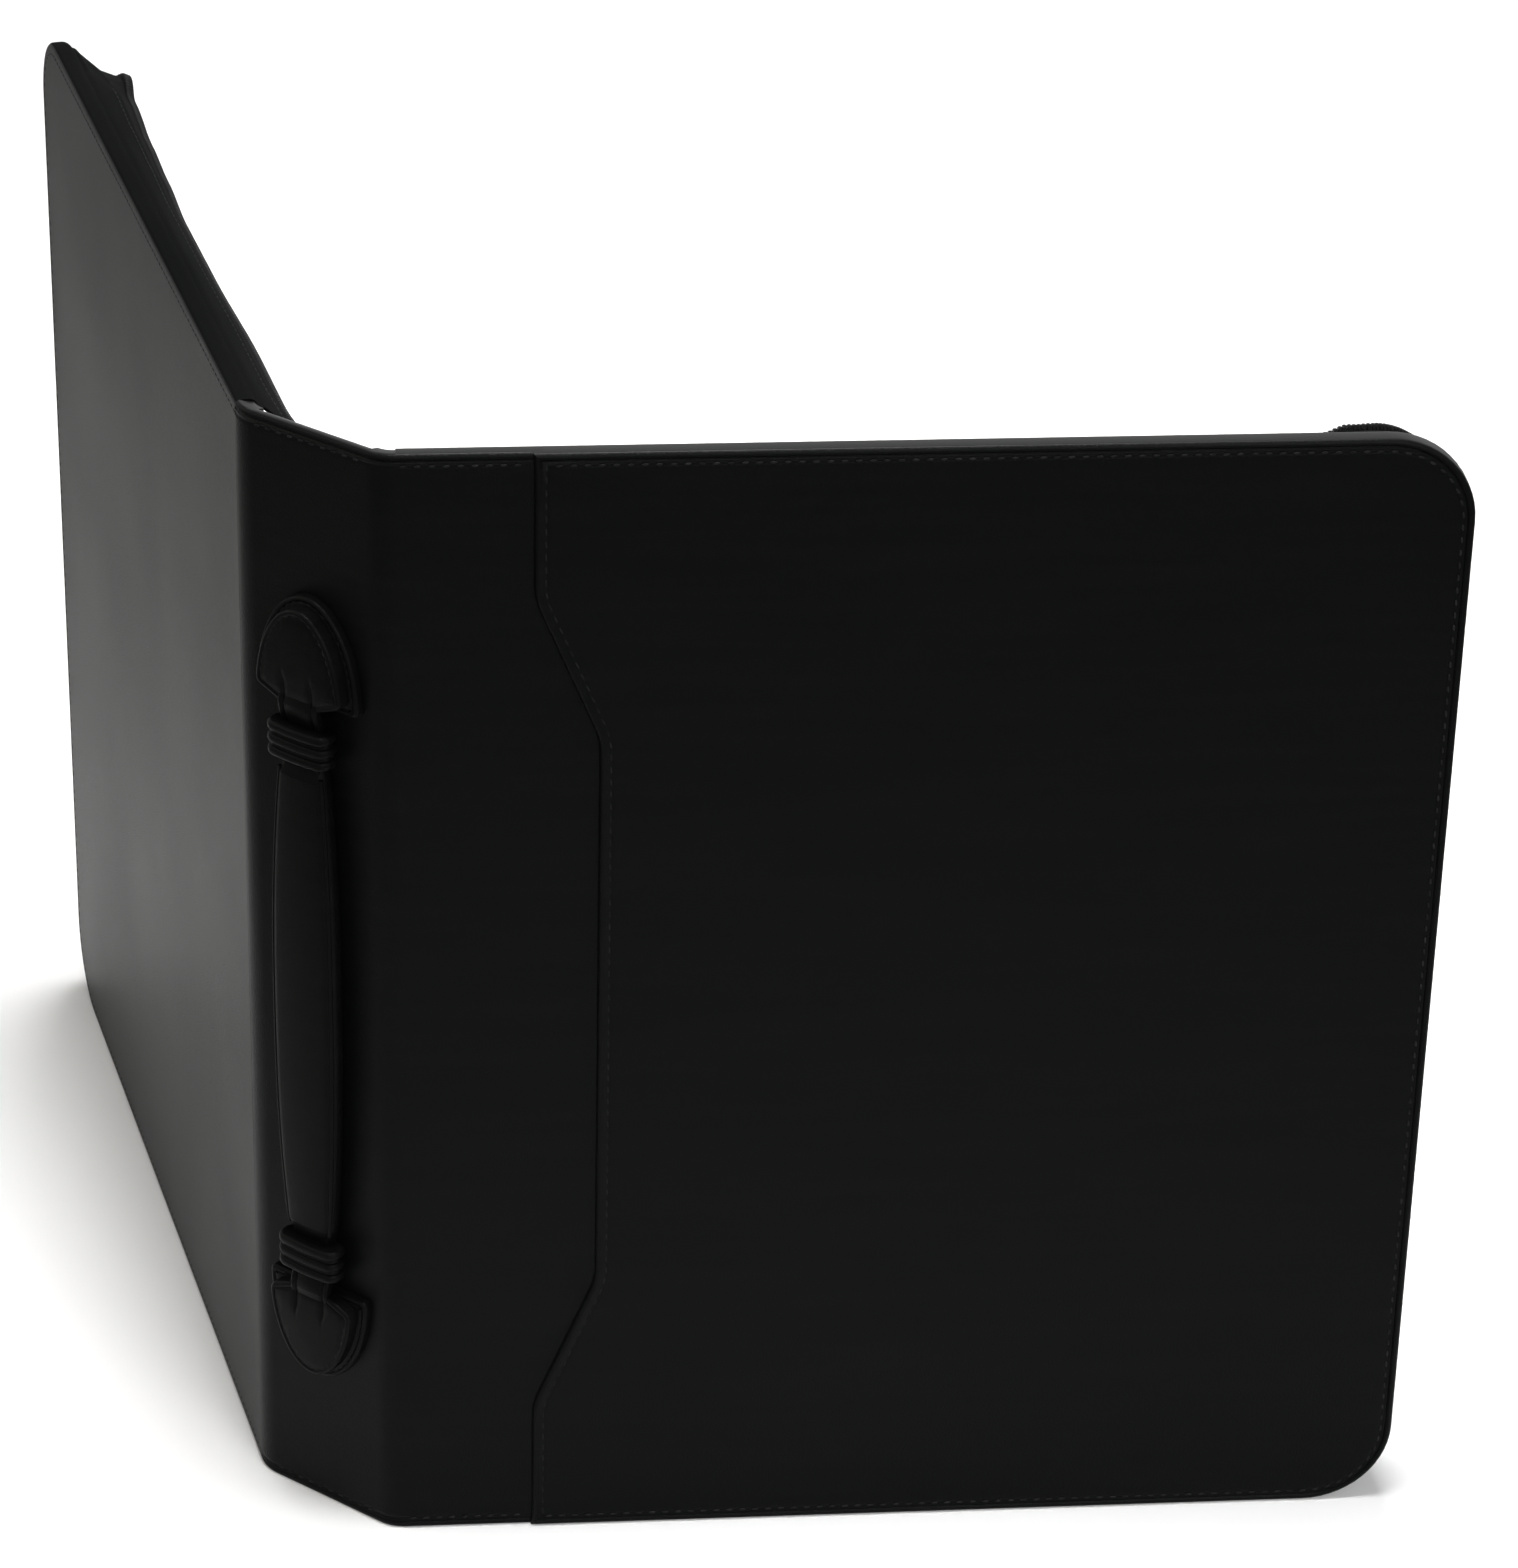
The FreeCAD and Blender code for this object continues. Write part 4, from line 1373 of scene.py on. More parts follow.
@dataclass
class FrontCover:
    """The front cover's outside: fold-side leather, and a raised main panel with a shaped, beaded seam."""

    case: CaseFrame
    seam_near: float = 38.0 * MM
    seam_far: float = 55.0 * MM
    bend_low: float = 41.0 * MM
    bend_high: float = 82.0 * MM
    bend_radius: float = 17.0 * MM
    bend_steps: int = 8
    tuck: float = 2.6 * MM
    crease_at: float = 3.3 * MM
    bead: tuple[tuple[float, float], ...] = (
        (0.0, -1.9 * MM), (0.45 * MM, -0.3 * MM), (0.9 * MM, 0.4 * MM), (1.4 * MM, 0.65 * MM),
        (2.1 * MM, 0.45 * MM), (3.3 * MM, -0.1 * MM), (4.3 * MM, 0.05 * MM), (5.5 * MM, 0.0))

    def seam_corners(self, shift: float) -> list[Corner]:
        """Lays out the seam.

        Args:
            shift: how far it is moved along the cover.

        Returns:
            Its six corners, from the foot up.
        """
        height = self.case.height
        near = self.seam_near + shift
        far = self.seam_far + shift
        return [(near, 0.0), (near, self.bend_low), (far, self.bend_high), (far, height - self.bend_high),
                (near, height - self.bend_low), (near, height)]

    def wrap_outline(self) -> Mesh:
        """Draws the fold-side leather, which runs in under the panel's edge.

        Returns:
            The outline, a single flat face.
        """
        seam = self.seam_corners(self.tuck)
        corners = [(-self.case.run_out, 0.0), *seam, (-self.case.run_out, self.case.height)]
        return flat_face(corners, seam[1:5], self.bend_radius, self.bend_steps)

    def panel_outline(self) -> Mesh:
        """Draws the main panel: the shaped seam on one side, round corners on the other.

        Returns:
            The outline, a single flat face.
        """
        case = self.case
        seam = self.seam_corners(0.0)
        fore = [(case.reach, case.height), (case.reach, 0.0)]
        bm = flat_face([*seam, *fore], seam[1:5], self.bend_radius, self.bend_steps)
        for corner in fore:
            round_corner(bm, corner, case.corner, case.corner_steps)
        return bm

    def is_panel_rim(self, start: Vector, end: Vector) -> bool:
        """Whether an outline edge of the panel is an edge of the cover, not its seam."""
        return is_level(start, end) or max(start.x, end.x) > self.seam_far + MM

    def build(self) -> None:
        """Builds the fold-side leather, the panel and the sewn rows."""
        case = self.case
        place = case.front
        wrap = LeatherFace(self.wrap_outline, is_level, case.skin, case.inner)
        bm = wrap.shape()
        cut_away(bm, Vector((case.fold_lap, 0.0, 0.0)), Vector((-1.0, 0.0, 0.0)))
        leather = add_piece("front_fold_leather", bm, COVER_LEATHER, place.face(), place.body,
                            "front_wrap")
        finish_edges(leather, EDGE_LEATHER, place.face())
        panel = LeatherFace(self.panel_outline, self.is_panel_rim, case.panel, case.inner,
                            swell=COVER_SWELL, seam_profile=self.bead)
        bm = panel.shape()
        leather = add_piece("front_panel_leather", bm, COVER_LEATHER, place.face(), place.body,
                            "front_panel")
        finish_edges(leather, EDGE_LEATHER, place.face())
        rows = bmesh.new()
        for level in (wrap.groove_at, case.height - wrap.groove_at):
            ends = [Vector((case.fold_lap, level, 0.0)), Vector((self.seam_near - MM, level, 0.0))]
            EDGE_STITCH.sew(rows, ends, wrap.rise)
        row = panel.row_along(panel.rim, panel.groove_at)
        EDGE_STITCH.sew(rows, round_about(row, (self.seam_near, case.height / 2.0)), panel.rise)
        row = panel.row_along(panel.seam, self.crease_at)
        SEAM_STITCH.sew(rows, sorted(row, key=lambda p: p.y), panel.rise)
        add_piece("front_cover_stitches", rows, SEWING_THREAD, place.face(), place.body)


@dataclass
class Spine:
    """The spine between the two folds: its leather, turned over at head and foot, and its sewn ends."""

    case: CaseFrame

    def outline(self) -> Mesh:
        """Draws the spine's face, past both folds."""
        half = self.case.front.axis_x + self.case.run_out
        return flat_face(rectangle(-half, 0.0, half, self.case.height))

    def build(self) -> None:
        """Builds the spine's leather and stitches."""
        case = self.case
        flat = case.front.axis_x - case.fold_lap
        face = LeatherFace(self.outline, is_level, case.skin, case.skin)
        bm = face.shape()
        for side in (-1.0, 1.0):
            cut_away(bm, Vector((side * flat, 0.0, 0.0)), Vector((side, 0.0, 0.0)))
        leather = add_piece("spine_outer_leather", bm, COVER_LEATHER, FACE_FRAME, Body.SPINE,
                            "spine_leather")
        finish_edges(leather, EDGE_LEATHER, FACE_FRAME)
        rows = bmesh.new()
        for level in (face.groove_at, case.height - face.groove_at):
            EDGE_STITCH.sew(rows, [Vector((-flat, level, 0.0)), Vector((flat, level, 0.0))], face.rise)
        add_piece("spine_stitches", rows, SEWING_THREAD, FACE_FRAME, Body.SPINE)
        Fold(case, Body.FRONT, "front_fold_roll", face).build()
        Fold(case, Body.REAR, "rear_fold_roll", face).build()


@dataclass
class Fold:
    """The leather hinge between the spine and a cover, softly bent round the fold."""

    case: CaseFrame
    body: Body
    node: str
    face: LeatherFace
    steps: int = 12
    thickness: float = 4.9 * MM
    inner_edge: float = 0.8 * MM
    edge_cuts: tuple[float, ...] = (0.06, 0.15, 0.3, 0.5, 0.75, 1.0, 1.3)

    def section(self) -> Mesh:
        """Draws the strip's long section: through the leather, and up it with the spine's own edges.

        Returns:
            The section, a single flat face.
        """
        case = self.case
        bm = flat_face(rectangle(case.skin - self.thickness, 0.0, case.skin, case.height))
        cuts = [place * MM for place in (*self.edge_cuts, *self.face.level[:12])]
        section = cut_outline(bm, 1, [*cuts, *[case.height - cut for cut in cuts]])
        for vert in section.verts:
            if vert.co.x > case.skin - HAIR:
                vert.co.x = self.face.profile(min(vert.co.y, case.height - vert.co.y))
            else:
                vert.co.y = min(max(vert.co.y, self.inner_edge), case.height - self.inner_edge)
        bmesh.ops.remove_doubles(bm, verts=bm.verts[:], dist=MERGE)
        return bm

    def build(self) -> None:
        """Builds the strip as one bent length of leather."""
        case = self.case
        place = case.place(self.body)
        lap = case.fold_lap
        upright = Matrix(((0, 0, 1, lap), (-1, 0, 0, 0), (0, 1, 0, 0), (0, 0, 0, 1)))
        centre = Matrix.Translation((lap, lap / math.tan(place.fold / 2.0), 0.0))
        stations = []
        for share in spaced(self.steps, 0.0, 1.0):
            turn = Matrix.Rotation(-place.fold * share, 4, "Z")
            stations.append(centre @ turn @ centre.inverted() @ upright)
        bm = self.section()
        sweep(bm, only_face(bm), stations)
        strip = add_piece(self.node + "_leather", bm, COVER_LEATHER, place.matrix(), None, self.node)
        finish_edges(strip, EDGE_LEATHER, place.face())
        end = place.matrix() @ Vector((lap, 0.0, case.height / 2.0))
        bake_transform(strip)


# How the zip's strips hang: places along a cover from its fold, in millimetres, each with the strip's sag
# in degrees, or with the depth of its hollow in millimetres for the bow.
SagTable = tuple[tuple[float, float], ...]
FRONT_SAG: SagTable = ((3, 58), (17, 47), (205, 47), (232, 37), (242, 25), (249, 18), (258, 17), (268, 17),
                       (280, 13), (292, 5))
REAR_SAG: SagTable = ((3, 44), (25, 48), (60, 47), (110, 50), (150, 50), (180, 46), (205, 43), (236, 37),
                      (250, 27), (261, 48), (271, 51), (283, 32), (297, 5))
CORNER_BOW: SagTable = ((232, 0), (249, 3), (260, 3), (274, 0))


@dataclass(frozen=True)
class ZipRoute:
    """The line that a cover's gusset is sewn along: upper run, two corners, fore-edge and lower run."""

    reach: float
    height: float
    inner: float
    corner: float
    start: float
    sag_deg: SagTable
    inset: float = 2.0 * MM

    def lengths(self) -> tuple[float, float, float]:
        """The lengths of a straight run, a corner and the fore-edge."""
        run = self.reach - self.corner - self.start
        return run, math.pi / 2.0 * (self.corner - self.inset), self.height - 2.0 * self.corner

    def total(self) -> float:
        """The whole length of the line."""
        run, turn, fore = self.lengths()
        return 2.0 * run + 2.0 * turn + fore

    def station(self, distance: float) -> Matrix:
        """Places the strip on the line, whose lower half mirrors its upper half.

        Args:
            distance: measured from the upper end.

        Returns:
            A frame with x across the strip from the cover, y outwards and z along it.
        """
        run, turn, fore = self.lengths()
        far = self.reach - self.corner
        top = self.height - self.corner
        radius = self.corner - self.inset
        lower = distance > run + turn + fore / 2.0
        along = self.total() - distance if lower else distance
        if along <= run:
            outwards = Vector((0.0, 0.0, 1.0))
            root = Vector((self.start + along, self.inner, top + radius))
        elif along <= run + turn:
            angle = math.pi / 2.0 * (1.0 - (along - run) / turn)
            outwards = Vector((math.cos(angle), 0.0, math.sin(angle)))
            root = Vector((far, self.inner, top)) + outwards * radius
        else:
            outwards = Vector((1.0, 0.0, 0.0))
            root = Vector((far + radius, self.inner, top - (along - run - turn)))
        if lower:
            root.z = self.height - root.z
            outwards.z = -outwards.z
        sag = math.radians(table_value(self.sag_deg, (self.start + distance) / MM))
        inwards = Vector((0.0, 1.0, 0.0))
        across = inwards * math.cos(sag) - outwards * math.sin(sag)
        leaning = inwards * math.sin(sag) + outwards * math.cos(sag)
        return frame_of(across, leaning, across.cross(leaning), root)


@dataclass
class ZipSide:
    """One cover's half of the zip: gusset strip, woven tape, coil and end stops."""

    case: CaseFrame
    body: Body
    name: str
    sag_deg: SagTable
    step: float = 4.0 * MM
    pitch: float = 1.25 * MM
    gusset: tuple[float, float] = (1.2 * MM, 10.5 * MM)
    gusset_faces: tuple[float, float] = (0.33 * MM, 1.13 * MM)
    root: tuple[float, float] = (-1.1 * MM, -1.3 * MM)
    tape: tuple[float, float] = (4.0 * MM, 15.4 * MM)
    tape_half: float = 0.3 * MM
    coil: Triple = (2.5 * MM, 1.8 * MM, 1.1 * MM)
    edge: float = 17.0 * MM
    stop: Triple = (3.2 * MM, 2.3 * MM, 2.6 * MM)
    sewn_at: float = 8.4 * MM
    ends: float = 2.0 * MM
    end_slant: float = 5.0 * MM
    softened: float = 0.24

    def __post_init__(self) -> None:
        """Lays the strip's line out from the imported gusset's own extent."""
        case = self.case
        self.place = case.place(self.body)
        low, _ = self.place.span(case.nodes[self.name + "_gusset"])
        self.route = ZipRoute(case.reach, case.height, case.inner, case.corner, low.x, self.sag_deg)

    def bow(self, distance: float, across: float) -> Vector:
        """How far the strip hangs hollow between its edges, most where it is gathered before a corner."""
        depth = table_value(CORNER_BOW, (self.route.start + distance) / MM) * MM
        return Vector((0.0, -depth * math.sin(math.pi * min(max(across / self.edge, 0.0), 1.0)), 0.0))

    def strip(self, section: Sequence[Corner]) -> Mesh:
        """Sweeps a thin section along the line, with a flat map of across and along.

        Args:
            section: its corners, across the strip and through it.

        Returns:
            The mesh, in the cover's frame.
        """
        bm = flat_face(section)
        layer = bm.loops.layers.uv.new("flat_map")
        total = self.route.total()
        places = spaced(int(total / self.step), -self.ends, total + self.ends)
        stations = [self.route.station(place) for place in places]
        flat = {}
        for place, frame, ring in zip(places, stations, sweep(bm, only_face(bm), stations)):
            back = frame.inverted()
            overrun = min(place, 0.0) + max(place - total, 0.0)
            for vert in ring:
                across = (back @ vert.co).x
                slant = Vector((0.0, 0.0, -overrun * min(max(across / self.end_slant, 0.0), 1.0)))
                flat[vert] = (across, place + slant.z)
                vert.co += frame.to_3x3() @ (self.bow(place, across) + slant)
        for face in bm.faces:
            for loop in face.loops:
                loop[layer].uv = flat[loop.vert]
        return bm

    def build(self) -> None:
        """Builds the gusset, the tape, the coil, the stops and the sewn row."""
        name = self.name
        where = self.place.matrix()
        (low, high), (under, over) = self.gusset, self.gusset_faces
        thick = over - under
        root = Vector(self.root)
        section = [tuple(root), (low, under), (high, under), (high, over), (low - 0.4 * thick, over),
                   (root.x - 0.6 * thick, root.y + 0.8 * thick)]
        gusset = add_piece(name + "_gusset_leather", self.strip(section), GUSSET_LEATHER, where, None,
                           name + "_gusset")
        start, end = [where @ Vector((self.route.start - back, 0.0, self.case.height / 2.0))
                      for back in (2.0 * self.ends, 0.0)]
        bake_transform(gusset)
        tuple(start)
        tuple(end)
        (near, far), half = self.tape, self.tape_half
        bm = self.strip(rectangle(near, -half, far, half))
        tape = add_piece(name + "_tape", bm, ZIP_TAPE, where, self.body, name + "_zip_tape")
        total = self.route.total()
        stop_length = self.stop[2]
        clear = stop_length + self.pitch
        loops = self.blocks(self.coil, clear, total - clear, self.pitch)
        add_piece(name + "_coil", loops, ZIP_NYLON, where, self.body, name + "_zip_chain")
        stops = self.blocks(self.stop, 0.5 * stop_length, total, total - stop_length)
        add_piece(name + "_stops", stops, BLACK_NICKEL, where, self.body, name + "_zip_stops")
        add_piece(name + "_gusset_stitches", self.stitches(), SEWING_THREAD, where, self.body)

    def blocks(self, size: Triple, start: float, end: float, pitch: float) -> Mesh:
        """Sets rounded blocks along the strip's free edge.

        Args:
            size: across, through and along.
            start: the first one's distance along the line.
            end: no block stands beyond it.
            pitch: the step from one to the next.

        Returns:
            The mesh, in the cover's frame.
        """
        bm = bmesh.new()
        shape = Matrix.Translation((self.edge - size[0] / 2.0, 0.0, 0.0)) @ Matrix.Diagonal((*size, 1.0))
        count = int((end - start) / pitch) + 1
        frames = [self.route.station(start + index * pitch) @ shape for index in range(count)]
        strew(bm, bmesh.ops.create_cube, frames, size=1.0)
        bmesh.ops.bevel(bm, geom=bm.edges[:], offset=self.softened * size[2], offset_type="OFFSET",
                        segments=1, profile=0.5, affect="EDGES", material=-1)
        return bm

    def stitches(self) -> Mesh:
        """Sews the gusset to the tape.

        Returns:
            The row's mesh, in the cover's frame.
        """
        row = FINE_STITCH
        spot = Matrix.Translation((self.sewn_at, self.gusset_faces[1], 0.0))
        shape = spot @ Matrix.Diagonal((row.radius, row.radius * row.flat, row.length / 2.0, 1.0))
        frames = []
        for index in range(int(self.route.total() / row.pitch)):
            place = (index + 0.5) * row.pitch
            bow = Matrix.Translation(self.bow(place, self.sewn_at))
            frames.append(self.route.station(place) @ bow @ shape)
        bm = bmesh.new()
        row.put(bm, frames)
        return bm


MOON_SWELL = 0.45 * MM


@dataclass(frozen=True)
class PressedLine:
    """A line pressed into the strap and the patch over it, on both sides of their middle."""

    at: float = 4.6 * MM
    depth: float = 0.7 * MM
    half: float = 0.9 * MM
    step: float = 0.3 * MM

    def cuts(self) -> list[float]:
        """Where a face is cut so that the line can be pressed into it."""
        right = [self.at + shift * self.step for shift in range(-3, 4)]
        return [*right, *[-cut for cut in right]]

    def press(self, across: float) -> float:
        """How deep the line lies at a distance from the middle."""
        return self.depth * dip(abs(across), self.at, self.half)


@dataclass
class HalfMoon:
    """One leather patch of a handle mount: a half oval with its straight side towards the handle."""

    name: str
    edge: float
    upwards: bool
    half_width: float
    reach: float
    low: float
    high: float
    shoulder: float
    strap_half: float
    tongue: PressedLine | None
    round_out: float = 1.0 * MM
    level: tuple[float, ...] = (1.25 * MM, 1.6 * MM, 1.95 * MM)
    sewn_at: float = 1.6 * MM
    sewn_half: float = 0.6 * MM
    sewn_depth: float = 0.35 * MM
    swell_reach: float = 8.0 * MM
    tongue_reach: float = 9.0 * MM
    shortest: float = 1.4 * MM
    tip_round: float = 1.7 * MM
    sunk: float = 0.3 * MM
    stitch_clear: float = 2.5 * MM

    def __post_init__(self) -> None:
        """Settles which way the curve lies, and measures the outline once."""
        self.towards = 1.0 if self.upwards else -1.0
        bm = self.outline()
        self.rim = EdgeRun.of(edge_pairs(bm))
        bm.free()

    def outline(self) -> Mesh:
        """Draws the half oval, with its shoulders falling away from the strap.

        Returns:
            The outline, a single flat face.
        """
        bm = bmesh.new()
        disc_face(bm, 48)
        bmesh.ops.scale(bm, vec=(self.half_width, self.reach, 1.0), verts=bm.verts[:])
        cut_plane(bm, Vector(), Vector((0.0, -self.towards, 0.0)), clear=True)
        if self.shoulder:
            for side in (-1.0, 1.0):
                slope = self.towards * (self.half_width - self.strap_half)
                fall = Vector((self.shoulder * side, -slope, 0.0))
                cut_plane(bm, Vector((side * self.strap_half, 0.0, 0.0)), fall, clear=True)
        bmesh.ops.dissolve_degenerate(bm, edges=bm.edges[:], dist=self.shortest)
        tips = [max(bm.verts, key=lambda v: side * v.co.x - 0.01 * abs(v.co.y)) for side in (-1.0, 1.0)]
        bmesh.ops.bevel(bm, geom=tips, offset=self.tip_round, offset_type="OFFSET", segments=3,
                        profile=0.5, affect="VERTICES", material=-1)
        bmesh.ops.translate(bm, verts=bm.verts[:], vec=(0.0, self.edge, 0.0))
        return bm

    def rise(self, point: Vector) -> float:
        """Shapes the patch: a beaded rim, a sewn line, a swell, and the strap's lines pressed into it.

        Args:
            point: a point of its face.

        Returns:
            The face's height there.
        """
        away = self.rim.distance(point)
        height = self.high - self.sewn_depth * dip(away, self.sewn_at, self.sewn_half)
        height += MOON_SWELL * smooth_share((away - self.sewn_at) / self.swell_reach)
        if self.tongue:
            deep = abs(point.y - self.edge)
            fade = 1.0 - smooth_share((deep - 0.75 * self.tongue_reach) / (0.25 * self.tongue_reach))
            height -= fade * self.tongue.press(point.x)
        return height

    def build(self, rows: Mesh) -> None:
        """Builds the patch and sews its curve.

        Args:
            rows: the mesh that takes the stitches.
        """
        bm = self.outline()
        start = self.low - self.sunk
        lift(bm, start)
        upper = [(0.0, self.high - start - self.round_out), *roll(self.round_out, 5)]
        pillow(bm, [*upper, *level_rings(self.level, self.round_out)], [])
        cuts = self.tongue.cuts() if self.tongue else []
        cut_across(bm, 0, [*cuts, *spaced(13, -self.half_width, self.half_width)[1:-1]])
        cut_across(bm, 1, [self.edge + self.towards * up for up in spaced(14, 0.0, self.reach)[1:-1]])
        for vert in bm.verts:
            if vert.co.z > self.high - HAIR:
                vert.co.z = self.rise(vert.co)
        add_piece(self.name + "_leather", bm, HANDLE_LEATHER, FACE_FRAME, Body.SPINE, self.name)
        clear = self.shoulder + self.stitch_clear
        points = inset_points(self.outline(), self.sewn_at)
        curve = [point for point in points if abs(point.y - self.edge) > clear]
        curve.sort(key=lambda p: math.atan2(self.towards * (p.y - self.edge), p.x))
        MOON_STITCH.sew(rows, curve, self.rise)


@dataclass
class Handle:
    """The carry handle: half-moons sewn to the spine, strap necks, ribbed keepers and a padded grip."""

    case: CaseFrame
    shoulder: float = 3.0 * MM
    strap_half: float = 6.4 * MM
    tongue: PressedLine = PressedLine()
    neck_thickness: float = 2.4 * MM
    neck_round: float = 0.8 * MM
    neck_under: float = 6.0 * MM
    neck_sunk: float = 0.9 * MM
    neck_lap: float = 2.0 * MM
    ribs: int = 3
    rib_groove: float = 0.8 * MM
    rib_round: float = 1.1 * MM
    rib_bulge: float = 0.9 * MM
    core_inset: float = 0.7 * MM
    core_short: float = 1.2 * MM
    grip_steps: int = 30
    grip_round: float = 0.38
    grip_crown: float = 0.14
    grip_end: float = 4.0 * MM
    grip_taper: float = 2.4
    grip_least: tuple[float, float] = (0.68, 0.82)
    grip_cuts: tuple[float, ...] = (-0.6, -0.45, -0.25, 0.0, 0.25, 0.45, 0.6)
    welt: float = 0.6 * MM

    def build(self) -> None:
        """Builds every piece of the handle."""
        for upwards, name in ((True, "upper"), (False, "lower")):
            rows = bmesh.new()
            layers = (("_moon_base", 0.0, None), ("_moon_patch", self.shoulder, self.tongue))
            for part, shoulder, tongue in layers:
                low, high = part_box(name + part)
                edge = low.z if upwards else high.z
                HalfMoon(name + part, edge, upwards, half_width=high.x, reach=high.z - low.z, low=-high.y,
                         high=-low.y, shoulder=shoulder, strap_half=self.strap_half,
                         tongue=tongue).build(rows)
            add_piece(name + "_moon_stitches", rows, SEWING_THREAD, FACE_FRAME, Body.SPINE)
            self.build_neck(name, edge, upwards, -low.y)
            self.build_keeper(name)
        self.build_grip()

    def build_neck(self, name: str, edge: float, upwards: bool, face: float) -> None:
        """Builds the strap from a half-moon's face into its keeper.

        Args:
            name: which end.
            edge: the height of the half-moon's straight side.
            upwards: whether it is the upper end.
            face: how far the half-moon's face stands from the spine's middle.
        """
        low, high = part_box(name + "_strap_neck")
        towards = -1.0 if upwards else 1.0
        far = low.z if upwards else high.z
        strap_low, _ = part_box("handle_strap")
        thick = self.neck_thickness
        corners = rectangle(-self.strap_half, -thick, self.strap_half, 0.0)
        bm = flat_face(corners, corners[2:], self.neck_round, 4)
        section = cut_outline(bm, 0, [*self.tongue.cuts(), 0.0])
        for vert in section.verts:
            if vert.co.y > -0.5 * thick:
                vert.co.y -= self.tongue.press(vert.co.x)
        start = edge - towards * self.neck_under
        end = far + towards * self.neck_lap
        out = face + MOON_SWELL
        stations = []
        for share in spaced(6, 0.0, 1.0)[:-1]:
            level = face - (1.0 - share) * self.neck_sunk + MOON_SWELL * share
            stations.append((start + (edge - start) * share, level))
        for share in spaced(10, 0.0, 1.0):
            level = out + (-strap_low.y - out) * smooth_share(share)
            stations.append((edge + (end - edge) * share, level))
        frames = [Matrix(((1, 0, 0, 0), (0, -1, 0, -level), (0, 0, 1, height), (0, 0, 0, 1)))
                  for height, level in stations]
        sweep(bm, section, frames)
        neck = add_piece(name + "_strap_neck_leather", bm, HANDLE_LEATHER, Matrix.Identity(4), None,
                         name + "_strap_neck")
        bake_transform(neck)

    def build_keeper(self, name: str) -> None:
        """Builds a ribbed keeper round the strap: rounded bands on a core, bowed in front.

        Args:
            name: which end.
        """
        low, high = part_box(name + "_keeper")
        whole_height = high.z - low.z
        pitch = (whole_height + self.rib_groove) / self.ribs
        rib = pitch - self.rib_groove
        bands = [(0.0, rib, low.z + index * pitch + rib / 2.0) for index in range(self.ribs)]
        bands.append((self.core_inset, whole_height - self.core_short, (low.z + high.z) / 2.0))
        whole = bmesh.new()
        for inset, tall, middle in bands:
            right = high.x - inset
            front = low.y + inset + self.rib_bulge
            back = high.y - inset
            corners = rectangle(-right, front, right, back)
            bm = flat_face(corners, corners, 0.42 * (back - front), 7)
            section = cut_outline(bm, 0, spaced(9, -right, right)[1:-1])
            bow_front(section, (front + back) / 2.0, self.rib_bulge, right)
            lift(bm, middle)
            turned = min(self.rib_round, 0.45 * tall)
            side = [(0.0, tall / 2.0 - turned), *roll(turned, 4), (0.4 * MM, 0.0)]
            pillow(bm, side, side)
            join(whole, bm)
        add_piece(name + "_keeper_leather", whole, HANDLE_LEATHER, Matrix.Identity(4), Body.HANDLE,
                  name + "_keeper")

    def grip_scale(self, share: float) -> tuple[float, float]:
        """How wide and deep the grip is at a share of its length, over its middle."""
        fall = abs(2.0 * share - 1.0) ** self.grip_taper
        return tuple(1.0 - (1.0 - least) * fall for least in self.grip_least)

    def build_grip(self) -> None:
        """Builds the padded grip, widest at its middle, with a welt along both of its front edges."""
        low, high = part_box("handle_grip")
        half = high.x
        thick = high.y - low.y
        long = high.z - low.z
        front = (1.0 - self.grip_crown) * thick
        corner = self.grip_round * thick
        corners = rectangle(-half, -front, half, 0.0)
        bm = flat_face(corners, corners, corner, 7)
        section = cut_outline(bm, 0, [half * share for share in self.grip_cuts])
        bow_front(section, -0.5 * thick, self.grip_crown * thick, half)
        stations = []
        for share in spaced(self.grip_steps, 0.0, 1.0):
            tuck = round_end(min(share, 1.0 - share) * long, self.grip_end)
            wide, deep = self.grip_scale(share)
            shape = Matrix.Diagonal((wide * (0.86 + 0.14 * tuck), deep * (0.70 + 0.30 * tuck), 1.0, 1.0))
            stations.append(Matrix.Translation((0.0, high.y, low.z + share * long)) @ shape)
        sweep(bm, section, stations)
        grip = add_piece("handle_grip_leather", bm, HANDLE_LEATHER, Matrix.Identity(4), Body.HANDLE,
                         "handle_grip")
        bm = bmesh.new()
        bite = corner * (1.0 - math.sqrt(0.5))
        for side in (-1.0, 1.0):
            section = disc_face(bm, 10, self.welt)
            stations = []
            for share in spaced(self.grip_steps, 0.025, 0.975):
                wide, deep = self.grip_scale(share)
                spot = (side * (half - bite) * wide, high.y - (front - bite) * deep, low.z + share * long)
                stations.append(Matrix.Translation(spot))
            sweep(bm, section, stations)
        add_piece("handle_grip_welts", bm, HANDLE_LEATHER, Matrix.Identity(4), Body.HANDLE)


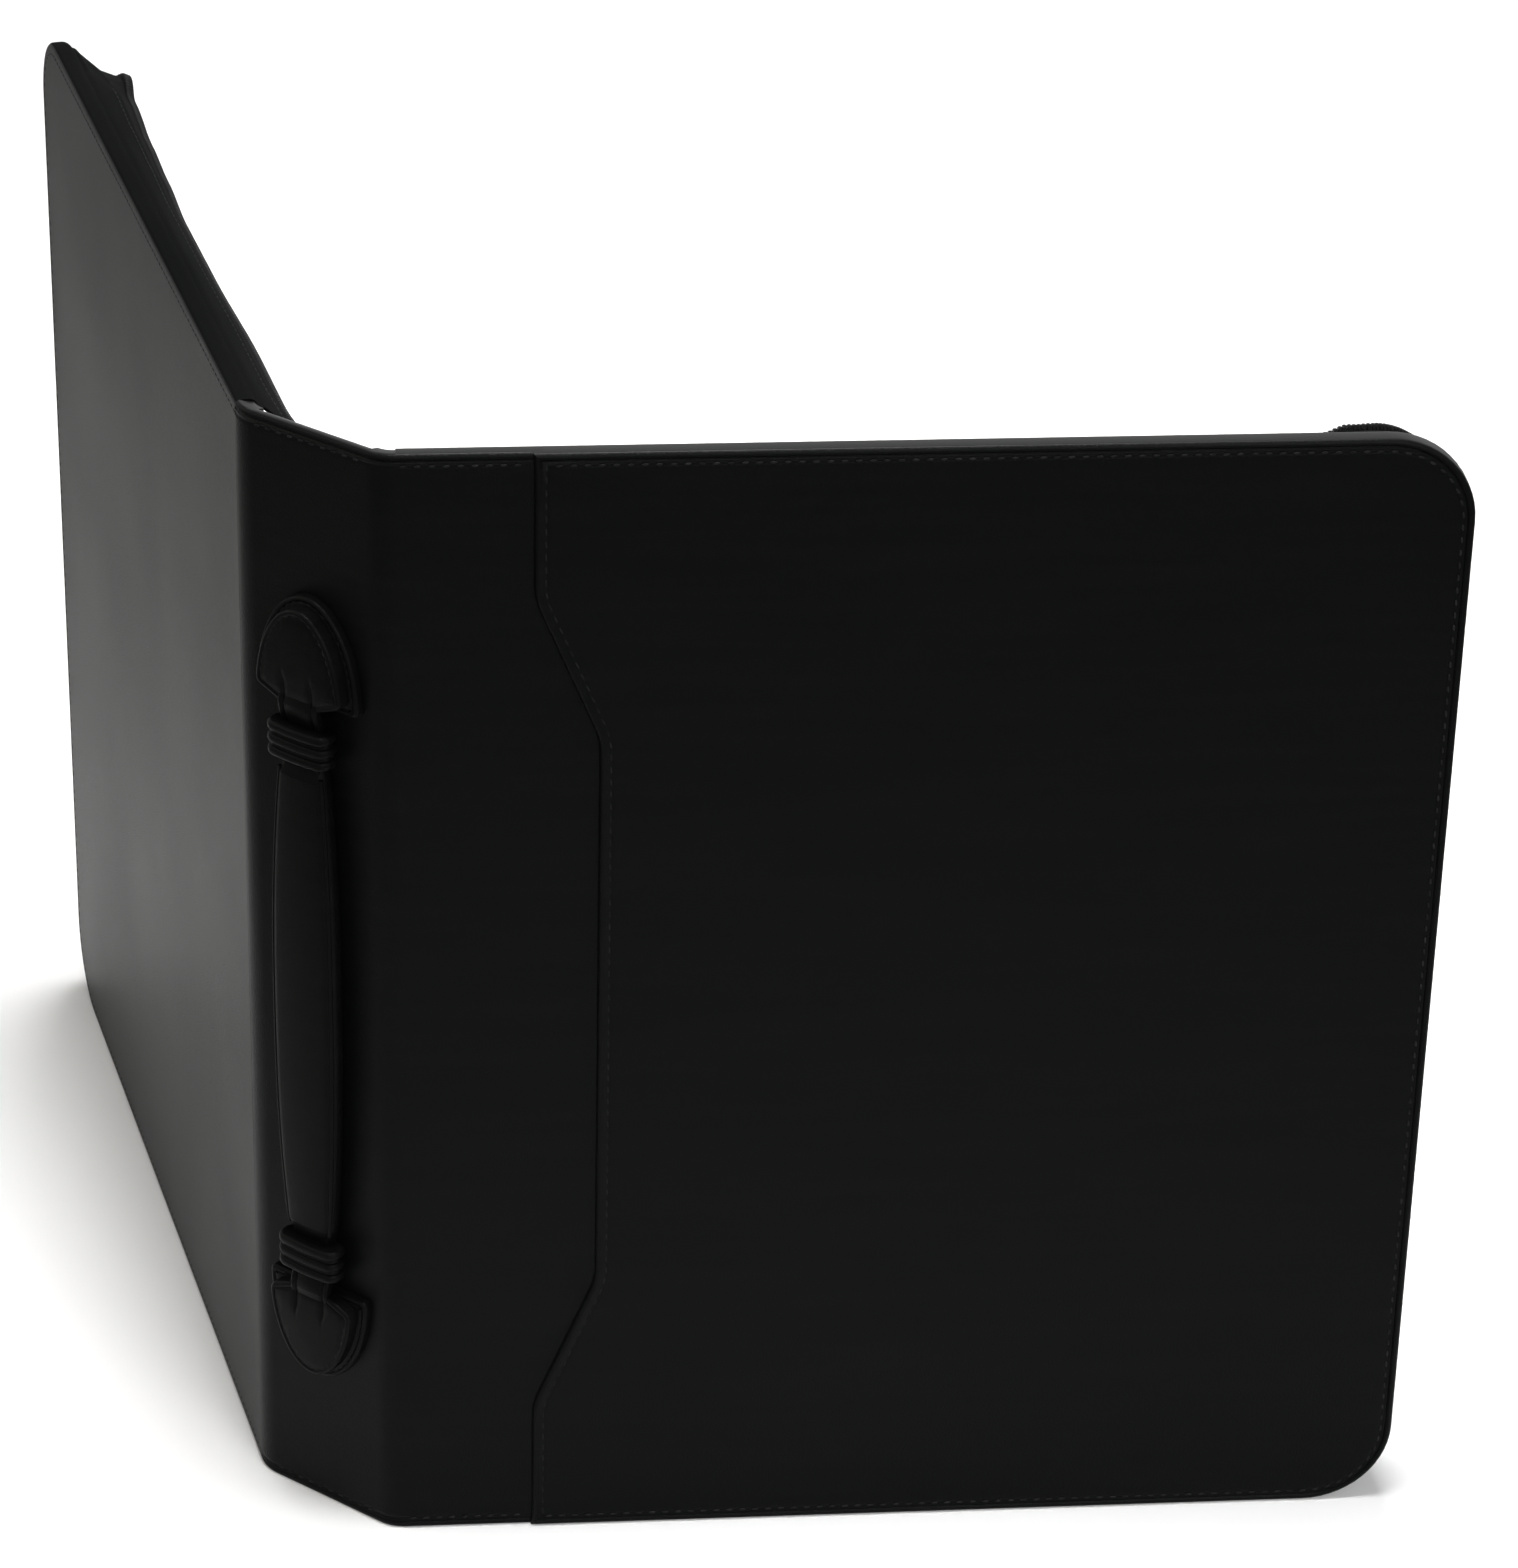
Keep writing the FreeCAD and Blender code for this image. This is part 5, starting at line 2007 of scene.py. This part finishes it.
@dataclass
class Lining:
    """The velvet lining of both covers and the spine."""

    case: CaseFrame
    margin: float = 4.2 * MM
    proud: float = 0.35 * MM
    fold_margin: float = 3.4 * MM
    thickness: float = 0.6 * MM
    corner_steps: int = 12

    def build(self) -> None:
        """Builds the three linings."""
        case = self.case
        margin = self.margin
        high = case.height - margin
        half = case.front.axis_x - self.fold_margin
        wide = rectangle(self.fold_margin, margin, case.reach - margin, high)
        narrow = rectangle(-half, margin, half, high)
        sheets = (("front_lining", wide, wide[1:3], case.inner, case.front.face(), Body.FRONT),
                  ("rear_lining", wide, wide[1:3], case.inner, case.rear.face(), Body.REAR),
                  ("spine_lining", narrow, (), case.skin, FACE_FRAME, Body.SPINE))
        for node, corners, rounded, depth, frame, body in sheets:
            bm = flat_face(corners, rounded, case.corner - margin, self.corner_steps)
            lift(bm, self.thickness - depth)
            pillow(bm, [], [(0.0, self.thickness), *roll(self.proud, 3)])
            add_piece(node + "_velvet", bm, LINING_VELVET, frame, body, node)


@dataclass
class RingTray:
    """The front cover's ring tray: a padded frame and soft rolls that pinch rings between them."""

    case: CaseFrame
    wall: float = 5.0 * MM
    corner: float = 8.0 * MM
    corner_steps: int = 8
    rolls: int = 18
    gap: float = 0.4 * MM
    seat: float = 5.2 * MM
    roll_end: float = 5.0 * MM

    def __post_init__(self) -> None:
        """Measures the tray in its cover."""
        self.place = self.case.front
        self.low, self.high = self.place.span(self.case.nodes["ring_tray"])

    def build(self) -> None:
        """Builds the frame, its bed and the rolls."""
        self.build_frame()
        self.build_rolls()

    def build_frame(self) -> None:
        """Builds the padded frame as four sides of one soft ring, with its bed."""
        place, low, high = self.place, self.low, self.high
        corners = rectangle(low.x, low.z, high.x, high.z)
        bm = flat_face(corners, corners, self.corner, self.corner_steps)
        lift(bm, -low.y)
        crest = self.wall * 0.46
        rings = [(0.0, high.y - low.y - crest), *roll(crest, 5), (self.wall - 2.0 * crest, 0.0)]
        rings += [(inset, -rise) for inset, rise in reversed(roll(crest, 5))]
        rings.append((0.0, -(high.y - self.seat - crest)))
        pillow(bm, [], rings)
        frame = add_piece("ring_tray_frame", bm, PAD_VELVET, place.face(), place.body, "ring_tray",
                          "ring_tray_base")

    def build_rolls(self) -> None:
        """Builds the soft rolls, each a little uneven."""
        place, low, high = self.place, self.low, self.high
        near = low.x + self.wall + self.gap
        far = high.x - self.wall - self.gap
        bottom = low.z + self.wall
        pitch = (high.z - self.wall - bottom) / self.rolls
        _, crown = place.span(self.case.nodes["ring_rolls"])
        half = pitch / 2.0 - self.gap / 2.0
        squat = (crown.y - self.seat) / 2.0
        whole = bmesh.new()
        for index in range(self.rolls):
            middle = bottom + (index + 0.5) * pitch
            bm = bmesh.new()
            section = disc_face(bm, 28)
            stations = []
            for share in spaced(22, 0.0, 1.0):
                tuck = round_end(min(share, 1.0 - share) * (far - near), self.roll_end, 0.02)
                along = near + share * (far - near)
                slow = 1.0 + 0.015 * noise.noise(Vector((along * 30.0, index * 3.7, 0.0)))
                wide = half * (0.5 + 0.5 * tuck)
                deep = squat * slow * (0.45 + 0.55 * tuck)
                frame = lengthwise(along, self.seat + squat, middle)
                stations.append(frame @ Matrix.Diagonal((wide, deep, 1.0, 1.0)))
            sweep(bm, section, stations)
            join(whole, bm)
        rolls = add_piece("ring_roll_pads", whole, PAD_VELVET, place.matrix(), place.body, "ring_rolls")


@dataclass
class NecklaceSide:
    """The rear cover's inside: a padded panel for necklaces, and a gathered pocket for their ends."""

    case: CaseFrame
    corner: float = 8.0 * MM
    corner_steps: int = 8
    pad_edge: float = 7.0 * MM
    pad_turn: float = 2.2 * MM
    pad_level: tuple[float, ...] = (3.2 * MM, 4.5 * MM, 6.0 * MM, 7.6 * MM)
    pad_crown_reach: float = 45.0 * MM
    pocket_seat: float = 0.6 * MM
    pleat: float = 7.5 * MM
    pleat_depth: float = 1.3 * MM
    hem: float = 6.0 * MM
    cloth: float = 0.5 * MM

    def __post_init__(self) -> None:
        """Finds the cover, and measures the space that the pocket fills."""
        self.place = self.case.rear
        self.low, self.high = self.place.span(self.case.nodes["catch_pocket"])
        self.seat = self.low.y + self.pocket_seat
        self.reach = self.high.y - self.seat - self.pleat_depth - self.cloth

    def build(self) -> None:
        """Builds the pad, the pocket and its hem."""
        self.build_pad()
        self.build_pocket()

    def build_pad(self) -> None:
        """Builds the padded panel, crowned from its rolled edges."""
        place = self.place
        low, high = place.span(self.case.nodes["necklace_pad"])
        corners = rectangle(low.x, low.z, high.x, high.z)
        bm = flat_face(corners, corners, self.corner, self.corner_steps)
        rim = EdgeRun.of(edge_pairs(bm))
        lift(bm, -low.y)
        rings = [(0.0, self.pad_edge - low.y - self.pad_turn), *roll(self.pad_turn, 5)]
        pillow(bm, [], [*rings, *level_rings(self.pad_level, self.pad_turn)])
        cut_across(bm, 0, spaced(24, low.x, high.x)[1:-1])
        cut_across(bm, 1, spaced(20, low.z, high.z)[1:-1])
        for vert in bm.verts:
            if vert.co.z < HAIR - self.pad_edge:
                away = rim.distance(vert.co)
                slow = noise.noise(Vector((vert.co.x * 22.0, vert.co.y * 22.0, 4.0)))
                share = smooth_share((away - 1.5 * MM) / self.pad_crown_reach)
                vert.co.z -= (high.y - self.pad_edge) * share + 0.25 * MM * slow * share
        pad = add_piece("necklace_pad_velvet", bm, PAD_VELVET, place.face(), place.body, "necklace_pad")

    def pocket_depth(self, along: float, up: float) -> float:
        """How far the pocket's sheet stands from the lining, 0 to 1, at shares of its width and height."""
        ends = smooth_share(along / 0.06) * smooth_share((1.0 - along) / 0.06)
        return ends * smooth_share(up / 0.30) ** 0.6

    def build_pocket(self) -> None:
        """Builds the pocket's gathered sheet and the hem that draws in its mouth."""
        place, low, high = self.place, self.low, self.high
        width = high.x - low.x
        tall = high.z - low.z
        bm = bmesh.new()
        bmesh.ops.create_grid(bm, x_segments=240, y_segments=22, size=0.5)
        for vert in bm.verts:
            along = vert.co.x + 0.5
            up = vert.co.y + 0.5
            wander = noise.noise(Vector((along * 9.0, up * 1.4, 2.0)))
            wave = math.sin(2.0 * math.pi * (along * width / self.pleat + 0.35 * wander))
            stand = self.pocket_depth(along, up)
            gather = stand * (0.25 + 0.75 * smooth_share((up - 0.15) / 0.75))
            depth = self.seat + self.reach * stand + self.pleat_depth * (0.5 + 0.5 * wave) * gather
            vert.co = Vector((low.x + along * width, depth, low.z + up * tall))
        length = sum(e.calc_length() for e in bm.edges if min(v.co.z for v in e.verts) > high.z - HAIR)
        bmesh.ops.recalc_face_normals(bm, faces=bm.faces[:])
        bmesh.ops.solidify(bm, geom=bm.faces[:], thickness=self.cloth)
        area = sum(face.calc_area() for face in bm.faces) / 2.0
        pocket = add_piece("catch_pocket_satin", bm, POCKET_SATIN, place.matrix(), place.body,
                           "catch_pocket", crease_deg=80.0)
        layer = pocket.data.uv_layers.new(name="flat_map")
        back = place.matrix().inverted()
        for loop in pocket.data.loops:
            local = back @ pocket.data.vertices[loop.vertex_index].co
            layer.data[loop.index].uv = (local.x * length / width, local.z)
        self.build_hem()

    def build_hem(self) -> None:
        """Builds the elastic hem as a ruffled tube along the pocket's mouth."""
        place, low, high = self.place, self.low, self.high
        bm = bmesh.new()
        section = disc_face(bm, 12)
        stations = []
        width = high.x - low.x
        for share in spaced(200, 0.012, 0.988):
            stand = self.pocket_depth(share, 1.0)
            ruffle = math.sin(2.0 * math.pi * share * width / (0.42 * self.pleat))
            depth = self.seat + self.reach * stand + self.pleat_depth * 0.5 * stand
            frame = lengthwise(low.x + share * width, depth, high.z - 0.45 * self.hem)
            shape = Matrix.Diagonal((0.5 * self.hem, (1.15 + 0.2 * ruffle) * MM, 1.0, 1.0))
            stations.append(frame @ shape)
        sweep(bm, section, stations)
        hem = add_piece("pocket_hem_satin", bm, POCKET_SATIN, place.matrix(), place.body, "pocket_hem")
        hem.data.uv_layers.new(name="flat_map")


@dataclass
class Hardware:
    """The CAD pieces whose shapes are kept, each with its own finish."""

    case: CaseFrame
    kept: tuple[tuple[Finish, tuple[str, ...]], ...] = (
        (BLACK_NICKEL, ("zip_slider", "zip_pull")),
        (BRIGHT_NICKEL, ("necklace_pegs",)),
        (BINDER_BOARD, ("spine_board", "front_board", "rear_board")),
        (PAD_FOAM, ("front_padding", "rear_padding")),
        (HANDLE_LEATHER, ("handle_strap",)))

    def build(self) -> None:
        """Dresses the metal, the boards, the foam and the strap."""
        for finish, names in self.kept:
            for name in names:
                materials = self.case.nodes[name].data.materials
                materials.clear()
                materials.append(finish.material())
                LOG.info("dressed %s in %s", name, finish.name)


@dataclass(frozen=True)
class Lamp:
    """A soft rectangular lamp: where it hangs and faces, its width and height, power and colour."""

    name: str
    at: Triple
    to: Triple
    size: tuple[float, float]
    watts: float
    spread_deg: float
    colour: Colour = (1.0, 1.0, 1.0)

    def hang(self, view: Vector) -> None:
        """Hangs the lamp with its width along the camera's view.

        Args:
            view: the direction that the camera looks in.
        """
        data = bpy.data.lights.new(self.name, "AREA")
        data.shape = "RECTANGLE"
        data.size, data.size_y = self.size
        data.energy = self.watts
        data.color = self.colour
        data.spread = math.radians(self.spread_deg)
        back = (Vector(self.at) - Vector(self.to)).normalized()
        along = (view - back * view.dot(back)).normalized()
        made = add_object(self.name, data)
        made.matrix_world = frame_of(along, back.cross(along), back, self.at)


LAMPS = (
    Lamp("overhead_softbox", at=(-0.30, 0.62, 1.35), to=(-0.30, 0.62, 0.0), size=(1.9, 0.4), watts=6.5,
         spread_deg=50.0),
    Lamp("left_fill", at=(-1.3, -0.7, 1.2), to=(-0.1, 0.0, 0.15), size=(0.8, 0.8), watts=2.4,
         spread_deg=120.0, colour=(1.0, 0.93, 0.82)),
    Lamp("right_fill", at=(1.5, -0.7, 1.1), to=(0.33, 0.04, 0.03), size=(0.9, 0.9), watts=2.4,
         spread_deg=60.0),
)


@dataclass
class Studio:
    """A pale floor, soft lamps, and a camera where the photograph was taken from."""

    camera_at: Triple = (0.8307, -0.9751, 0.9315)
    looks_along: Triple = (-0.5064, 0.7155, -0.4813)
    roll_deg: float = 1.42
    lens: float = 128.2
    sensor: float = 36.0
    floor_half: float = 6.0
    floor_colour: Colour = (0.90, 0.90, 0.90)
    sky_light: float = 0.25

    def build(self) -> None:
        """Builds the floor, the lamps, the surroundings and the camera."""
        bpy.context.scene.view_settings.view_transform = "Standard"
        self.build_floor()
        self.build_sky()
        self.build_camera()
        for lamp in LAMPS:
            lamp.hang(Vector(self.looks_along))

    def build_floor(self) -> None:
        """Builds the floor, a plain pale sheet."""
        bm = bmesh.new()
        bmesh.ops.create_grid(bm, x_segments=2, y_segments=2, size=self.floor_half)
        mesh = bpy.data.meshes.new("floor")
        bm.to_mesh(mesh)
        bm.free()
        floor = add_object("floor", mesh)
        made = bpy.data.materials.new("floor_paper")
        draft = Drafter.fresh(made, "ShaderNodeLightPath", "ShaderNodeBsdfDiffuse")
        draft.put("Color", draft.mix(self.seen_directly(draft), self.floor_colour, (1.0, 1.0, 1.0)))
        mesh.materials.append(made)

    @staticmethod
    def seen_directly(draft: Drafter) -> Socket:
        """A socket that is 1 on a ray from the camera, from a gloss or through glass, and else 0."""
        seen = draft.math("MAXIMUM", draft.get("Is Camera Ray"), draft.get("Is Glossy Ray"))
        return draft.math("MAXIMUM", seen, draft.get("Is Transmission Ray"))

    def build_sky(self) -> None:
        """Lights the scene evenly, and shows white where a seen ray meets no floor."""
        world = bpy.data.worlds.new("surroundings")
        bpy.context.scene.world = world
        draft = Drafter.fresh(world, "ShaderNodeLightPath", "ShaderNodeBackground")
        draft.put("Strength", draft.spread(self.seen_directly(draft), self.sky_light, 1.0))
        draft.put("Color", (1.0, 1.0, 1.0))

    def build_camera(self) -> None:
        """Places the camera at the photograph's viewing angle."""
        forward = Vector(self.looks_along).normalized()
        right = forward.cross(Vector((0.0, 0.0, 1.0))).normalized()
        up = right.cross(forward)
        turn = math.radians(self.roll_deg)
        tilted_right = right * math.cos(turn) + up * math.sin(turn)
        tilted_up = up * math.cos(turn) - right * math.sin(turn)
        data = bpy.data.cameras.new("photo_camera")
        data.sensor_width = self.sensor
        data.lens = self.lens
        camera = add_object("photo_camera", data)
        camera.matrix_world = frame_of(tilted_right, tilted_up, -forward, self.camera_at)
        bpy.context.scene.camera = camera


def main() -> None:
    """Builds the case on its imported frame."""
    logging.basicConfig(level=logging.INFO, format="%(name)s: %(message)s")
    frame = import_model()
    case = CaseFrame.read(frame)
    Studio().build()
    Spine(case).build()
    FrontCover(case).build()
    RearCover(case).build()
    ZipSide(case, Body.FRONT, "front", FRONT_SAG).build()
    ZipSide(case, Body.REAR, "rear", REAR_SAG).build()
    Handle(case).build()
    Lining(case).build()
    RingTray(case).build()
    NecklaceSide(case).build()
    Hardware(case).build()


if __name__ == "__main__":
    main()
